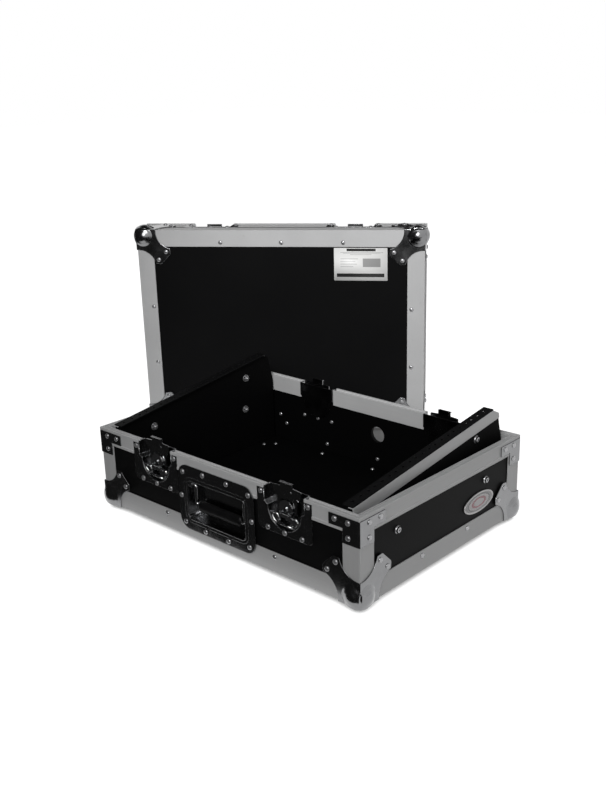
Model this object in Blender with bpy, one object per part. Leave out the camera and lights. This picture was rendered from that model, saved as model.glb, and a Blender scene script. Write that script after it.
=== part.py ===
"""Flight case for a rack-width mixer: a shallow base with two sloping rack cheeks, and its lift-off lid.

The origin lies on top of the base's front rim, midway across. The base faces -Y, and the lid stands on one long
side behind it, with its outer face to the front.
"""

import math

import bmesh
import bpy
from mathutils import Matrix, Vector

MM = 0.001

# Whole case. A 19-inch rack's hole lines are 465.1 mm apart, over a 450 mm opening, and give the width
RACK_HOLE_SPACING = 465.1 * MM
RACK_MARGIN = 29.95 * MM    # from a hole line to the case's side
CASE_WIDTH = RACK_HOLE_SPACING + 2 * RACK_MARGIN
CASE_DEPTH = 372 * MM
BASE_HEIGHT = 126 * MM
LID_HEIGHT = 71 * MM
GAP = 0.3 * MM              # air between two pieces that touch on the real case
BOARD = 7 * MM              # laminated board
SKIN = 1.5 * MM             # wall of the aluminium profiles
PLATE = 1.5 * MM            # sheet steel of the corners and braces

# Aluminium profiles
EDGE_LEG = 30 * MM
CORNER_LEG = 28.5 * MM
RIM_OUTER_LEG = 25 * MM
RIM_INNER_LEG = 28 * MM
RIM_LIP = 4.5 * MM          # plain band along the rim's top, proud of the leg below it
RIM_BEAD = 4.2 * MM         # bead along the foot of the outer leg
BEAD_STEP = 1 * MM
GROOVE_DEPTH = 3 * MM
TONGUE_RISE = 2.4 * MM
TONGUE_WIDTH = 2.2 * MM

# Rivets
RIVET_RADIUS = 3.2 * MM
RIVET_CROWN_RADIUS = 2 * MM
RIVET_HEIGHT = 1.8 * MM
RIVET_SIDES = 6
EDGE_RIVET_LINE = 22.5 * MM      # from the case's outer corner line
LONG_RIVET_PITCH = 112 * MM
SHORT_RIVET_PITCH = 108 * MM
LID_LONG_RIVET_SHIFT = 6 * MM    # from the strip's middle toward the lid's right side
LID_SHORT_RIVET_SHIFT = 11 * MM  # from the strip's middle toward the lid's rear

# Ball corners, measured from the case's outer corner
BALL_RADIUS = 20.2 * MM
BALL_INSET = 11.5 * MM
EAR_WAIST = 15 * MM              # half width where the ear is narrowest
EAR_WAIST_AT = 50 * MM           # along the diagonal
EAR_ARC_RADIUS = 33 * MM
EAR_HALF_END = 13 * MM
EAR_END = 75 * MM
EAR_SHOULDER = (67 * MM, 19.5 * MM)
EAR_RIVET = (66 * MM, 10.4 * MM)

# L braces at the base's rim
BRACE_REACH = 50 * MM
BRACE_DROP = 41 * MM
BRACE_BAND = 20.5 * MM
BRACE_POST = 27 * MM
BRACE_RIVETS = ((17.6 * MM, 11 * MM), (40 * MM, 11 * MM), (17.6 * MM, 32 * MM))

# Twist latches, in both long sides of the base
LATCH_TO_HANDLE = 4.5 * MM       # between a latch's dish and the handle's plate
LATCH_DROP = 26.5 * MM           # pivot below the rim's top
DISH_WIDTH = 100 * MM
DISH_FOOT = 38.5 * MM            # below the pivot
DISH_SHEET = 1.2 * MM
DISH_CORNER = 8 * MM
POCKET_RADIUS = 29.8 * MM
POCKET_HALF_MOUTH = 36 * MM
POCKET_SHOULDER_RISE = 4 * MM
POCKET_DEPTH = 11.5 * MM
POCKET_WALL = 1 * MM
LATCH_TOP_RIVET = (43 * MM, 16.4 * MM)
LATCH_FOOT_RIVET_PITCH = 31.5 * MM
LATCH_FOOT_RIVET_DROP = 33.9 * MM
STUD_RADIUS = 2.6 * MM
CAM_DISC_RADIUS = 12.5 * MM
CAM_DISC_FRONT = 3.6 * MM
CAM_DISC_BACK = 6 * MM
CAM_RADIUS = 8 * MM
CAM_THROW = 3 * MM               # half the hook's travel
CAM_PLAY = 1 * MM
CAM_BACK = 9.6 * MM
HOOK_FRONT = 6.3 * MM
HOOK_SHEET = 1.5 * MM
HOOK_HALF_BODY = 18 * MM
HOOK_FOOT = 12 * MM
HOOK_HALF_SHOULDER = 26 * MM
HOOK_WAIST_DROP = 7 * MM         # below the rim, where the shoulders begin
HOOK_SHOULDER_SLANT = 3 * MM
HOOK_SHOULDER_RISE = 3 * MM      # above the rim
HOOK_TIP_SLANT = 1 * MM
HOOK_HALF_TIP = 11.5 * MM
HOOK_TIP_RISE = 11 * MM
HOOK_LIP_FRONT = 3.5 * MM
WING_AXIS_DROP = 6 * MM
WING_AXIS_DEPTH = 1.8 * MM
WING_SHEET = 2 * MM
WING_RADIUS = 28.8 * MM
WING_TOP = 9.2 * MM
WING_FOOT = 25 * MM
WING_HALF_NECK = 6.2 * MM
WING_HOLE_HALF_WIDTH = 16 * MM
WING_HOLE_CORNER = 3 * MM
WING_BAR = 4 * MM
WING_BARREL_RADIUS = 1.5 * MM
WING_PIN_RADIUS = 0.8 * MM
LUG_INNER = 6.8 * MM
LUG_OUTER = 9 * MM
LUG_HALF_HEIGHT = 2 * MM

# Catch dishes in the lid's long sides
CATCH_DROP = 38 * MM
CATCH_HALF_LIP = 14 * MM
CATCH_LIP = 2.5 * MM
CATCH_PLAY = 1 * MM              # around the hook's tip
CATCH_WALL = 0.7 * MM            # the pocket stops short of the rim's inner leg

# Recessed handle in the base's front
HANDLE_DROP = 62 * MM            # plate's middle below the rim's top
HANDLE_PLATE = (156 * MM, 101 * MM)
HANDLE_CORNER = 19 * MM
HANDLE_POCKET_HALF_WIDTH = 59 * MM
HANDLE_POCKET_TOP = 27 * MM
HANDLE_POCKET_FOOT = 32 * MM
HANDLE_POCKET_CORNER = 8 * MM
HANDLE_POCKET_DEPTH = 14 * MM
HANDLE_RIVETS = ((67.5 * MM, 39 * MM), (24.5 * MM, 43.4 * MM), (72.5 * MM, 1 * MM),
                 (66.5 * MM, -40 * MM), (24 * MM, -44.6 * MM))
BAIL_AXIS_RISE = 19 * MM
BAIL_AXIS_DEPTH = 6.5 * MM
BAIL_ROD = 3 * MM
BAIL_TO_POCKET = 9 * MM          # from the arm's middle to the pocket's side
BAIL_TOP_BEND = 3 * MM
BAIL_BAR_BEND = 5 * MM
BAIL_DROP = 31 * MM              # from the hinge axis to the grip's middle
GRIP_TO_ARM = 6 * MM             # from the grip's end to the arm's middle
GRIP_HALF_HEIGHT = 9 * MM
GRIP_HALF_DEPTH = 5.5 * MM
BEARING_WIDTH = 4 * MM
BEARING_FRONT = 1 * MM
BEARING_END_WALL = 1 * MM
BEARING_HALF_HEIGHT = 5.5 * MM

# Rack cheeks
RACK_UNIT = 44.45 * MM
RACK_HOLE_STEPS = (6.35 * MM, 22.225 * MM, 38.1 * MM)
RACK_HOLE_RADIUS = 2.6 * MM
RAIL_HOLE_LINE = 9.75 * MM       # from the cap's outer face
CHEEK_BOARD = 6.5 * MM
CHEEK_SLOPE = math.radians(7.5)
CHEEK_RISE = 1.4 * MM            # the sloping top line above the rim, carried on to the case's front plane
CHEEK_FRONT = 12 * MM
CHEEK_TOP_END = 41 * MM          # from the case's back
CHEEK_CLIP_END = (26 * MM, 37.5 * MM)    # from the case's back, and above the rim
CHEEK_REAR = (15 * MM, -8 * MM)          # likewise
CAP_LEG = 17.5 * MM
RAIL_WIDTH = 17 * MM
RAIL_SHEET = 2 * MM
SIDE_BOLTS = ((79 * MM, 45 * MM), (286 * MM, 44 * MM))       # back from the front, and below the rim's top
UPPER_BOLTS = ((83 * MM, 29.3 * MM), (290 * MM, 27.6 * MM))  # back from the front, and below the top line
BOLT_RADIUS = 3 * MM
BOLT_HEAD_RADIUS = 5.2 * MM
BOLT_HEAD_HEIGHT = 3.2 * MM
SPACER_RADIUS = 8 * MM

# Badge on the right side, and the cable port in the rear board
BADGE_DEPTH = 268 * MM           # back from the front
BADGE_DROP = 11.9 * MM           # below the middle of the bare board
BADGE_HALF_SIZE = (37 * MM, 15.2 * MM)
BADGE_THICKNESS = 2 * MM
BADGE_RIM = 2.2 * MM
BADGE_RIM_RISE = 0.6 * MM
PORT_HEIGHT = 66 * MM
PORT_RADIUS = 14 * MM

# Where the lid stands: its lower left outer corner from the base's middle, and its turn about Z
LID_CORNER = (-498.1 * MM, 97.7 * MM)
LID_TURN = math.radians(33.4)

LATCH_SPREAD = (HANDLE_PLATE[0] + DISH_WIDTH) / 2 + LATCH_TO_HANDLE
BAIL_HALF_SPAN = HANDLE_POCKET_HALF_WIDTH - BAIL_TO_POCKET
CHEEK_INSET = RACK_MARGIN - RAIL_HOLE_LINE     # cap's outer face from the case's side
INSET = SKIN + GAP                             # boards lie behind the aluminium
WALL_FOOT = INSET + BOARD + GAP                # side boards stand on the floor board
RIM_WIDTH = 2 * (SKIN + GAP) + BOARD
PROUD = GAP + PLATE                            # outer face of the fittings on the profiles
RIM_TOP_MIDDLE = (SKIN - BEAD_STEP) / 2        # of the outer lip's top face, inward from the outer plane
LATCH_HOLE_CLEARANCE = 0.4 * MM
BITE = 0.05 * MM                               # how far a cut runs into a face that it would else lie in
SEAM_MARGIN = 1 * MM
OVERLAP = 0.2 * MM                             # how far one half of a body runs into the other
CUT_PAST = 5 * MM
SHARP_ANGLE = math.radians(35)

ALUMINIUM = ("aluminium", (0.55, 0.56, 0.57), 1.0, 0.38)
LAMINATE = ("black_laminate", (0.012, 0.012, 0.013), 0.0, 0.42)
CHROME = ("chromed_steel", (0.60, 0.61, 0.63), 1.0, 0.14)
RUBBER = ("black_rubber", (0.018, 0.018, 0.019), 0.0, 0.62)
PAINT = ("black_painted_steel", (0.02, 0.02, 0.021), 0.0, 0.45)
BADGE = ("badge_metal", (0.62, 0.60, 0.60), 1.0, 0.30)


def clear_scene():
    for item in list(bpy.data.objects):
        bpy.data.objects.remove(item, do_unlink=True)


def material(look):
    name, colour, metallic, roughness = look
    made = bpy.data.materials.get(name)
    if made is None:
        made = bpy.data.materials.new(name)
        made.use_nodes = True
        shader = made.node_tree.nodes["Principled BSDF"]
        shader.inputs["Base Color"].default_value = (*colour, 1.0)
        shader.inputs["Metallic"].default_value = metallic
        shader.inputs["Roughness"].default_value = roughness
    return made


def empty(name, location, turn=(0, 0, 0), parent=None):
    frame = bpy.data.objects.new(name, None)
    frame.empty_display_size = 0.02
    frame.location = location
    frame.rotation_euler = turn
    frame.parent = parent
    bpy.context.scene.collection.objects.link(frame)
    return frame


def piece(name, shape, look, parent, location=(0, 0, 0), turn=(0, 0, 0)):
    """Turn a shape into a named object with its own mesh and material, smooth where it is round."""
    mesh = bpy.data.meshes.new(name)
    shape.to_mesh(mesh)
    shape.free()
    mesh.shade_smooth()
    mesh.set_sharp_from_angle(angle=SHARP_ANGLE)
    mesh.materials.append(material(look))
    return copy_of(mesh, name, parent, location, turn)


def copy_of(mesh, name, parent, location=(0, 0, 0), turn=(0, 0, 0)):
    item = bpy.data.objects.new(name, mesh)
    item.location = location
    item.rotation_euler = turn
    item.parent = parent
    bpy.context.scene.collection.objects.link(item)
    return item


# Shapes

AXES = {"X": (1, 2, 0), "Y": (0, 2, 1), "Z": (0, 1, 2)}


def prism(outline, low, high, axis):
    """Extrude a closed outline along one axis. Its points lie in the plane of the other two, in order."""
    shape = bmesh.new()
    first, second, third = AXES[axis]
    ends = []
    for level in (low, high):
        ring = []
        for point in outline:
            place = [0.0, 0.0, 0.0]
            place[first], place[second], place[third] = point[0], point[1], level
            ring.append(shape.verts.new(place))
        ends.append(ring)
        shape.faces.new(ring)
    count = len(outline)
    for i in range(count):
        j = (i + 1) % count
        shape.faces.new((ends[0][i], ends[0][j], ends[1][j], ends[1][i]))
    bmesh.ops.recalc_face_normals(shape, faces=shape.faces)
    return shape


def box(low, high):
    (x0, y0, z0), (x1, y1, z1) = low, high
    return prism([(x0, y0), (x1, y0), (x1, y1), (x0, y1)], z0, z1, "Z")


def circle(centre, radius, sides, start=0.0):
    step = 2 * math.pi / sides
    return [(centre[0] + radius * math.cos(start + i * step), centre[1] + radius * math.sin(start + i * step))
            for i in range(sides)]


def cylinder(centre, radius, low, high, axis, sides=12):
    return prism(circle(centre, radius, sides, math.pi / sides), low, high, axis)


def arc(centre, radius, start, end, steps):
    """Points along an arc, both ends included. Angles in degrees."""
    points = []
    for i in range(steps + 1):
        angle = math.radians(start + (end - start) * i / steps)
        points.append((centre[0] + radius * math.cos(angle), centre[1] + radius * math.sin(angle)))
    return points


def rounded_rectangle(left, right, foot, top, radius, steps=3):
    return (arc((right - radius, top - radius), radius, 0, 90, steps)
            + arc((left + radius, top - radius), radius, 90, 180, steps)
            + arc((left + radius, foot + radius), radius, 180, 270, steps)
            + arc((right - radius, foot + radius), radius, 270, 360, steps))


def moved(shape, matrix):
    bmesh.ops.transform(shape, matrix=matrix, verts=shape.verts)
    if matrix.determinant() < 0:
        bmesh.ops.reverse_faces(shape, faces=shape.faces)
    return shape


def joined(shapes):
    """Several shapes that don't touch, as one tool."""
    whole = bmesh.new()
    for shape in shapes:
        mesh = bpy.data.meshes.new("part")
        shape.to_mesh(mesh)
        shape.free()
        whole.from_mesh(mesh)
        bpy.data.meshes.remove(mesh)
    return whole


def combined(shape, tool, operation):
    """One closed body: UNION adds the tool, DIFFERENCE cuts it away and INTERSECT keeps what both fill."""
    items = []
    for source in (shape, tool):
        mesh = bpy.data.meshes.new("work")
        source.to_mesh(mesh)
        source.free()
        item = bpy.data.objects.new("work", mesh)
        bpy.context.scene.collection.objects.link(item)
        items.append(item)
    modifier = items[0].modifiers.new("combine", "BOOLEAN")
    modifier.operation = operation
    modifier.solver = "EXACT"
    modifier.object = items[1]
    result = bmesh.new()
    result.from_object(items[0], bpy.context.evaluated_depsgraph_get())
    for item in items:
        mesh = item.data
        bpy.data.objects.remove(item)
        bpy.data.meshes.remove(mesh)
    bmesh.ops.remove_doubles(result, verts=result.verts, dist=1e-6)
    bmesh.ops.dissolve_limit(result, angle_limit=math.radians(0.05), verts=result.verts, edges=result.edges)
    return result


def added(shape, *tools):
    for tool in tools:
        shape = combined(shape, tool, "UNION")
    return shape


def cut(shape, *tools):
    for tool in tools:
        shape = combined(shape, tool, "DIFFERENCE")
    return shape


def rivet(place, outward):
    """A low tapered head, its foot sunk a little into the face it sits on."""
    shape = bmesh.new()
    foot, crown = ([shape.verts.new((x, y, level)) for x, y in circle((0, 0), radius, RIVET_SIDES)]
                   for radius, level in ((RIVET_RADIUS, -OVERLAP), (RIVET_CROWN_RADIUS, RIVET_HEIGHT)))
    for i in range(RIVET_SIDES):
        j = (i + 1) % RIVET_SIDES
        shape.faces.new((foot[i], foot[j], crown[j], crown[i]))
    shape.faces.new(foot)
    shape.faces.new(crown)
    bmesh.ops.recalc_face_normals(shape, faces=shape.faces)
    turn = Vector((0, 0, 1)).rotation_difference(Vector(outward)).to_matrix().to_4x4()
    return moved(shape, Matrix.Translation(place) @ turn)


def riveted(shape, places, outward):
    return added(shape, joined([rivet(place, outward) for place in places]))


def tube(points, radius, sides):
    """A round rod along a bent line that lies in the XZ plane, with mitred bends."""
    shape = bmesh.new()
    rings = []
    for i, point in enumerate(points):
        before = (Vector(point) - Vector(points[i - 1])).normalized() if i else None
        after = (Vector(points[i + 1]) - Vector(point)).normalized() if i + 1 < len(points) else None
        way = ((before or after) + (after or before)).normalized()
        side = way.cross(Vector((0, 1, 0))).normalized()
        stretch = 1 / way.dot(after or before)
        ring = []
        for across, deep in circle((0, 0), radius, sides, math.pi / sides):
            ring.append(shape.verts.new(Vector(point) + side * across * stretch + Vector((0, deep, 0))))
        rings.append(ring)
    for low, high in zip(rings, rings[1:]):
        for i in range(sides):
            j = (i + 1) % sides
            shape.faces.new((low[i], low[j], high[j], high[i]))
    shape.faces.new(rings[0])
    shape.faces.new(rings[-1])
    bmesh.ops.recalc_face_normals(shape, faces=shape.faces)
    return shape


def mitred_profile(profile, length):
    """A profile of (depth, height) points run along X, cut at 45 degrees at both ends."""
    shape = bmesh.new()
    ends = []
    for side in (-1, 1):
        reach = length / 2 - GAP
        ring = [shape.verts.new((side * (reach - depth), depth, height)) for depth, height in profile]
        ends.append(ring)
        shape.faces.new(ring)
    count = len(profile)
    for i in range(count):
        j = (i + 1) % count
        shape.faces.new((ends[0][i], ends[0][j], ends[1][j], ends[1][i]))
    bmesh.ops.recalc_face_normals(shape, faces=shape.faces)
    return shape


def mitred_frame(profile):
    """A profile of (depth, height) points run right round the tray, with mitred corners."""
    shape = bmesh.new()
    rings = [[shape.verts.new((x * (CASE_WIDTH / 2 - depth), y * (CASE_DEPTH / 2 - depth), height))
              for depth, height in profile] for x, y in ((-1, -1), (1, -1), (1, 1), (-1, 1))]
    count = len(profile)
    for ring, following in zip(rings, rings[1:] + rings[:1]):
        for i in range(count):
            j = (i + 1) % count
            shape.faces.new((ring[i], ring[j], following[j], following[i]))
    bmesh.ops.recalc_face_normals(shape, faces=shape.faces)
    return shape


def separate_bodies(shape):
    """The bodies of a cut shape, each as a shape of its own."""
    number = {}
    count = 0
    for first in shape.verts:
        if first in number:
            continue
        number[first] = count
        reached = [first]
        while reached:
            vert = reached.pop()
            for edge in vert.link_edges:
                other = edge.other_vert(vert)
                if other not in number:
                    number[other] = count
                    reached.append(other)
        count += 1
    bodies = [bmesh.new() for _ in range(count)]
    twins = {vert: bodies[number[vert]].verts.new(vert.co) for vert in shape.verts}
    for face in shape.faces:
        bodies[number[face.verts[0]]].faces.new([twins[vert] for vert in face.verts])
    shape.free()
    return bodies


# Where things stand on a tray, which is the base, or the lid lying on its outer face

SIDES = tuple(enumerate(("front", "right", "rear", "left")))
CORNERS = tuple(enumerate(("front_left", "front_right", "rear_right", "rear_left")))


def side_length(quarter):
    return CASE_DEPTH if quarter % 2 else CASE_WIDTH


def side_matrix(quarter, height=0.0):
    """From a side's own frame (X along it, Y inward from its outer plane) to the tray's frame."""
    reach = (CASE_WIDTH if quarter % 2 else CASE_DEPTH) / 2
    turn = Matrix.Rotation(quarter * math.pi / 2, 4, "Z")
    return turn @ Matrix.Translation((0, -reach, height))


def corner_matrix(quarter, height=0.0):
    """From a corner's own frame (X and Y both inward) to the tray's frame."""
    corner = ((-1, -1), (1, -1), (1, 1), (-1, 1))[quarter]
    place = Matrix.Translation((corner[0] * CASE_WIDTH / 2, corner[1] * CASE_DEPTH / 2, height))
    return place @ Matrix.Rotation(quarter * math.pi / 2, 4, "Z")


def place_in(item, matrix):
    item.location = matrix.to_translation()
    item.rotation_euler = matrix.to_euler()
    return item


# Boards

def floor_board():
    half_width = CASE_WIDTH / 2 - INSET
    half_depth = CASE_DEPTH / 2 - INSET
    return box((-half_width, -half_depth, INSET), (half_width, half_depth, INSET + BOARD))


def side_board(quarter, height):
    """In the side's own frame. The long boards run the full width, the short ones between them."""
    half = side_length(quarter) / 2 - INSET
    if quarter % 2:
        half -= BOARD + GAP
    return box((-half, INSET, WALL_FOOT), (half, INSET + BOARD, height - RIM_LIP - GAP))


def pocket_outline(grow, top):
    """The latch dish's pocket: a round lower half about the pivot and a wider mouth above."""
    mouth = POCKET_HALF_MOUTH + grow
    round_half = arc((0, 0), POCKET_RADIUS + grow, 180, 360, 10)
    shoulder = POCKET_SHOULDER_RISE
    return [(mouth, top), (-mouth, top), (-mouth, shoulder)] + round_half + [(mouth, shoulder)]


def latch_holes(height):
    """Holes in a long board for its two latch dishes, in the side's own frame."""
    grow = POCKET_WALL + LATCH_HOLE_CLEARANCE
    holes = []
    for side in (-1, 1):
        hole = prism(pocket_outline(grow, LATCH_DROP + CUT_PAST), -CUT_PAST, INSET + BOARD + CUT_PAST, "Y")
        holes.append(moved(hole, Matrix.Translation((side * LATCH_SPREAD, 0, height - LATCH_DROP))))
    return joined(holes)


def catch_pocket_foot(grow):
    return CATCH_DROP - DISH_CORNER + grow


def catch_holes(height):
    grow = POCKET_WALL + LATCH_HOLE_CLEARANCE
    half = POCKET_HALF_MOUTH + grow
    holes = []
    for side in (-1, 1):
        middle = side * LATCH_SPREAD
        foot = height - catch_pocket_foot(grow)
        holes.append(box((middle - half, -CUT_PAST, foot),
                         (middle + half, INSET + BOARD + CUT_PAST, height + CUT_PAST)))
    return joined(holes)


def handle_pocket_outline(grow):
    return rounded_rectangle(-HANDLE_POCKET_HALF_WIDTH - grow, HANDLE_POCKET_HALF_WIDTH + grow,
                             -HANDLE_POCKET_FOOT - grow, HANDLE_POCKET_TOP + grow, HANDLE_POCKET_CORNER + grow)


def handle_hole():
    outline = handle_pocket_outline(POCKET_WALL + LATCH_HOLE_CLEARANCE)
    hole = prism(outline, -CUT_PAST, INSET + BOARD + CUT_PAST, "Y")
    return moved(hole, Matrix.Translation((0, 0, BASE_HEIGHT - HANDLE_DROP)))


def bolt_holes(quarter):
    """Holes for the cheek's lower bolts in a short board, in the side's own frame."""
    holes = []
    for depth, drop in SIDE_BOLTS:
        place = ((depth - CASE_DEPTH / 2) * (1 if quarter == 1 else -1), BASE_HEIGHT - drop)
        holes.append(cylinder(place, BOLT_RADIUS + GAP, -CUT_PAST, INSET + BOARD + CUT_PAST, "Y", 10))
    return joined(holes)


def base_boards(frame):
    piece("base_floor_board", floor_board(), LAMINATE, frame)
    for quarter, name in SIDES:
        board = side_board(quarter, BASE_HEIGHT)
        if quarter % 2:
            board = cut(board, bolt_holes(quarter))
        else:
            board = cut(board, latch_holes(BASE_HEIGHT))
        if name == "front":
            board = cut(board, handle_hole())
        if name == "rear":
            port = cylinder((0, PORT_HEIGHT), PORT_RADIUS, -CUT_PAST, INSET + BOARD + CUT_PAST, "Y", 24)
            board = cut(board, port)
        place_in(piece(f"base_{name}_board", board, LAMINATE, frame), side_matrix(quarter))


def lid_boards(frame):
    piece("lid_top_board", floor_board(), LAMINATE, frame)
    outer = (CASE_WIDTH / 2 - INSET, CASE_DEPTH / 2 - INSET)
    inner = (outer[0] - BOARD, outer[1] - BOARD)
    walls = cut(box((-outer[0], -outer[1], WALL_FOOT), (outer[0], outer[1], LID_HEIGHT - RIM_LIP - GAP)),
                box((-inner[0], -inner[1], 0), (inner[0], inner[1], LID_HEIGHT)))
    for quarter in (0, 2):
        walls = cut(walls, moved(catch_holes(LID_HEIGHT), side_matrix(quarter)))
    piece("lid_side_boards", walls, LAMINATE, frame)


# Aluminium profiles

def edge_profile():
    return [(0, 0), (EDGE_LEG, 0), (EDGE_LEG, SKIN), (SKIN, SKIN), (SKIN, EDGE_LEG), (0, EDGE_LEG)]


def edge_rivet_places(quarter):
    if quarter % 2:
        return [-SHORT_RIVET_PITCH / 2, SHORT_RIVET_PITCH / 2]
    return [-LONG_RIVET_PITCH, 0, LONG_RIVET_PITCH]


def lid_rivet_places(quarter):
    """The lid's rivets lie off the strips' middles, all one way on opposite sides."""
    shift = LID_SHORT_RIVET_SHIFT if quarter % 2 else LID_LONG_RIVET_SHIFT
    return [x + (shift if quarter < 2 else -shift) for x in edge_rivet_places(quarter)]


def rim_profile(with_tongue, with_bead):
    """Outer leg, lip, groove or tongue, inner lip and inner leg, from the foot of the outer leg."""
    foot = [(0, -RIM_OUTER_LEG)]
    if with_bead:
        bead_top = -RIM_OUTER_LEG + RIM_BEAD
        foot = [(-BEAD_STEP, -RIM_OUTER_LEG), (-BEAD_STEP, bead_top), (0, bead_top)]
    lip = [(0, -RIM_LIP), (-BEAD_STEP, -RIM_LIP), (-BEAD_STEP, 0), (SKIN, 0), (SKIN, -GROOVE_DEPTH)]
    middle = RIM_WIDTH / 2
    tongue = []
    if with_tongue:
        tongue = [(middle - TONGUE_WIDTH / 2, -GROOVE_DEPTH), (middle - TONGUE_WIDTH / 2, TONGUE_RISE),
                  (middle + TONGUE_WIDTH / 2, TONGUE_RISE), (middle + TONGUE_WIDTH / 2, -GROOVE_DEPTH)]
    inner = RIM_WIDTH - SKIN
    inner_lip = [(inner, -GROOVE_DEPTH), (inner, -SKIN / 2), (RIM_WIDTH, -SKIN / 2),
                 (RIM_WIDTH, -RIM_INNER_LEG), (inner, -RIM_INNER_LEG), (inner, -RIM_LIP),
                 (SKIN, -RIM_LIP), (SKIN, -RIM_OUTER_LEG)]
    return foot + lip + tongue + inner_lip


def rim_notches(mouth_depth):
    """Gaps in a long rim for two dishes: its outer leg beside each pocket, and deeper at the mouth."""
    mouth = POCKET_HALF_MOUTH + POCKET_WALL + LATCH_HOLE_CLEARANCE
    flange = DISH_WIDTH / 2 + LATCH_HOLE_CLEARANCE
    foot = RIM_INNER_LEG + CUT_PAST
    notches = []
    for side in (-1, 1):
        middle = side * LATCH_SPREAD
        notches.append(added(
            box((middle - mouth, -CUT_PAST, -foot), (middle + mouth, mouth_depth, CUT_PAST)),
            box((middle - flange, -CUT_PAST, -foot), (middle + flange, SKIN + GAP, -RIM_LIP + BITE))))
    return joined(notches)


def bead_ends(length):
    """What the braces cover at both ends of the rim's bead."""
    ends = []
    inner = length / 2 - BRACE_POST - GAP
    outer = length / 2 + CUT_PAST
    top = -RIM_OUTER_LEG + RIM_BEAD + GAP
    for side in (-1, 1):
        low, high = sorted((side * inner, side * outer))
        ends.append(box((low, -CUT_PAST, -RIM_OUTER_LEG - CUT_PAST), (high, BITE, top)))
    return joined(ends)


def base_profiles(frame):
    for quarter, name in SIDES:
        edge = mitred_profile(edge_profile(), side_length(quarter))
        places = [(x, 0, EDGE_RIVET_LINE) for x in edge_rivet_places(quarter) if name != "front" or x]
        edge = riveted(edge, places, (0, -1, 0))
        place_in(piece(f"base_{name}_bottom_edge", edge, ALUMINIUM, frame), side_matrix(quarter))


def base_rims(frame):
    """The dishes part the rim into four: two middles, and two ends that run round the corners."""
    rim = moved(mitred_frame(rim_profile(False, True)), Matrix.Translation((0, 0, BASE_HEIGHT)))
    for quarter, _ in SIDES:
        rim = cut(rim, moved(bead_ends(side_length(quarter)), side_matrix(quarter, BASE_HEIGHT)))
    for quarter in (0, 2):
        rim = cut(rim, moved(rim_notches(RIM_WIDTH + CUT_PAST), side_matrix(quarter, BASE_HEIGHT)))
    for body in separate_bodies(rim):
        middle = sum((vert.co for vert in body.verts), Vector()) / len(body.verts)
        if abs(middle.x) < CASE_WIDTH / 8:
            name = "base_front_rim_middle" if middle.y < 0 else "base_rear_rim_middle"
        else:
            name = "base_left_rim" if middle.x < 0 else "base_right_rim"
        piece(name, body, ALUMINIUM, frame)


def upright_angle(foot, top):
    outline = [(0, 0), (CORNER_LEG, 0), (CORNER_LEG, SKIN), (SKIN, SKIN), (SKIN, CORNER_LEG), (0, CORNER_LEG)]
    return prism(outline, foot, top, "Z")


def brace_plate(height):
    """The L brace over a rim corner: the same L on both faces, joined along the corner."""
    foot = height - BRACE_DROP
    band_foot = height - BRACE_BAND
    top = height - RIM_LIP - GAP
    outline = [(-PROUD, foot), (BRACE_POST, foot), (BRACE_POST, band_foot),
               (BRACE_REACH, band_foot), (BRACE_REACH, top), (-PROUD, top)]
    plate = added(prism(outline, -PROUD, -GAP, "Y"), prism(outline, -PROUD, -GAP, "X"))
    plate = riveted(plate, [(along, -PROUD, height - drop) for along, drop in BRACE_RIVETS], (0, -1, 0))
    return riveted(plate, [(-PROUD, along, height - drop) for along, drop in BRACE_RIVETS], (-1, 0, 0))


def braced_corner(height):
    """An upright corner angle with the brace riveted to its top end."""
    angle = upright_angle(EDGE_LEG + GAP, height - RIM_OUTER_LEG - GAP)
    low = height - BRACE_DROP + SEAM_MARGIN
    high = height - RIM_OUTER_LEG - GAP - SEAM_MARGIN
    end = BRACE_POST - SEAM_MARGIN
    half_plate = PLATE / 2
    seam = added(box((SEAM_MARGIN, -GAP - half_plate, low), (end, SKIN / 2, high)),
                 box((-GAP - half_plate, SEAM_MARGIN, low), (SKIN / 2, end, high)))
    return added(angle, seam, brace_plate(height))


def base_corners(frame):
    shape = piece("base_corner_angle_front_left", braced_corner(BASE_HEIGHT), ALUMINIUM, frame)
    place_in(shape, corner_matrix(0))
    for quarter, name in CORNERS[1:]:
        place_in(copy_of(shape.data, f"base_corner_angle_{name}", frame), corner_matrix(quarter))


def upright_seam():
    """Joins an upright to the edge below it, inside the thickness of both."""
    near = SKIN / 4
    far = SKIN - near
    end = CORNER_LEG - SEAM_MARGIN
    outline = [(near, near), (end, near), (end, far), (far, far), (far, end), (near, end)]
    return prism(outline, EDGE_LEG - SEAM_MARGIN, EDGE_LEG + GAP + SEAM_MARGIN, "Z")


def lid_profiles(frame):
    edges = mitred_frame(edge_profile())
    for quarter, _ in SIDES:
        places = [side_matrix(quarter) @ Vector((x, EDGE_RIVET_LINE, 0)) for x in lid_rivet_places(quarter)]
        edges = riveted(edges, places, (0, 0, -1))
    for quarter, _ in CORNERS:
        place = corner_matrix(quarter)
        angle = upright_angle(EDGE_LEG + GAP, LID_HEIGHT - RIM_OUTER_LEG - GAP)
        edges = added(edges, moved(upright_seam(), place), moved(angle, place))
    piece("lid_edge_frame", edges, ALUMINIUM, frame)
    rim = moved(mitred_frame(rim_profile(True, False)), Matrix.Translation((0, 0, LID_HEIGHT)))
    for quarter in (0, 2):
        rim = cut(rim, moved(rim_notches(RIM_WIDTH - SKIN), side_matrix(quarter, LID_HEIGHT)))
    piece("lid_rim", rim, ALUMINIUM, frame)


# Ball corners

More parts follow.
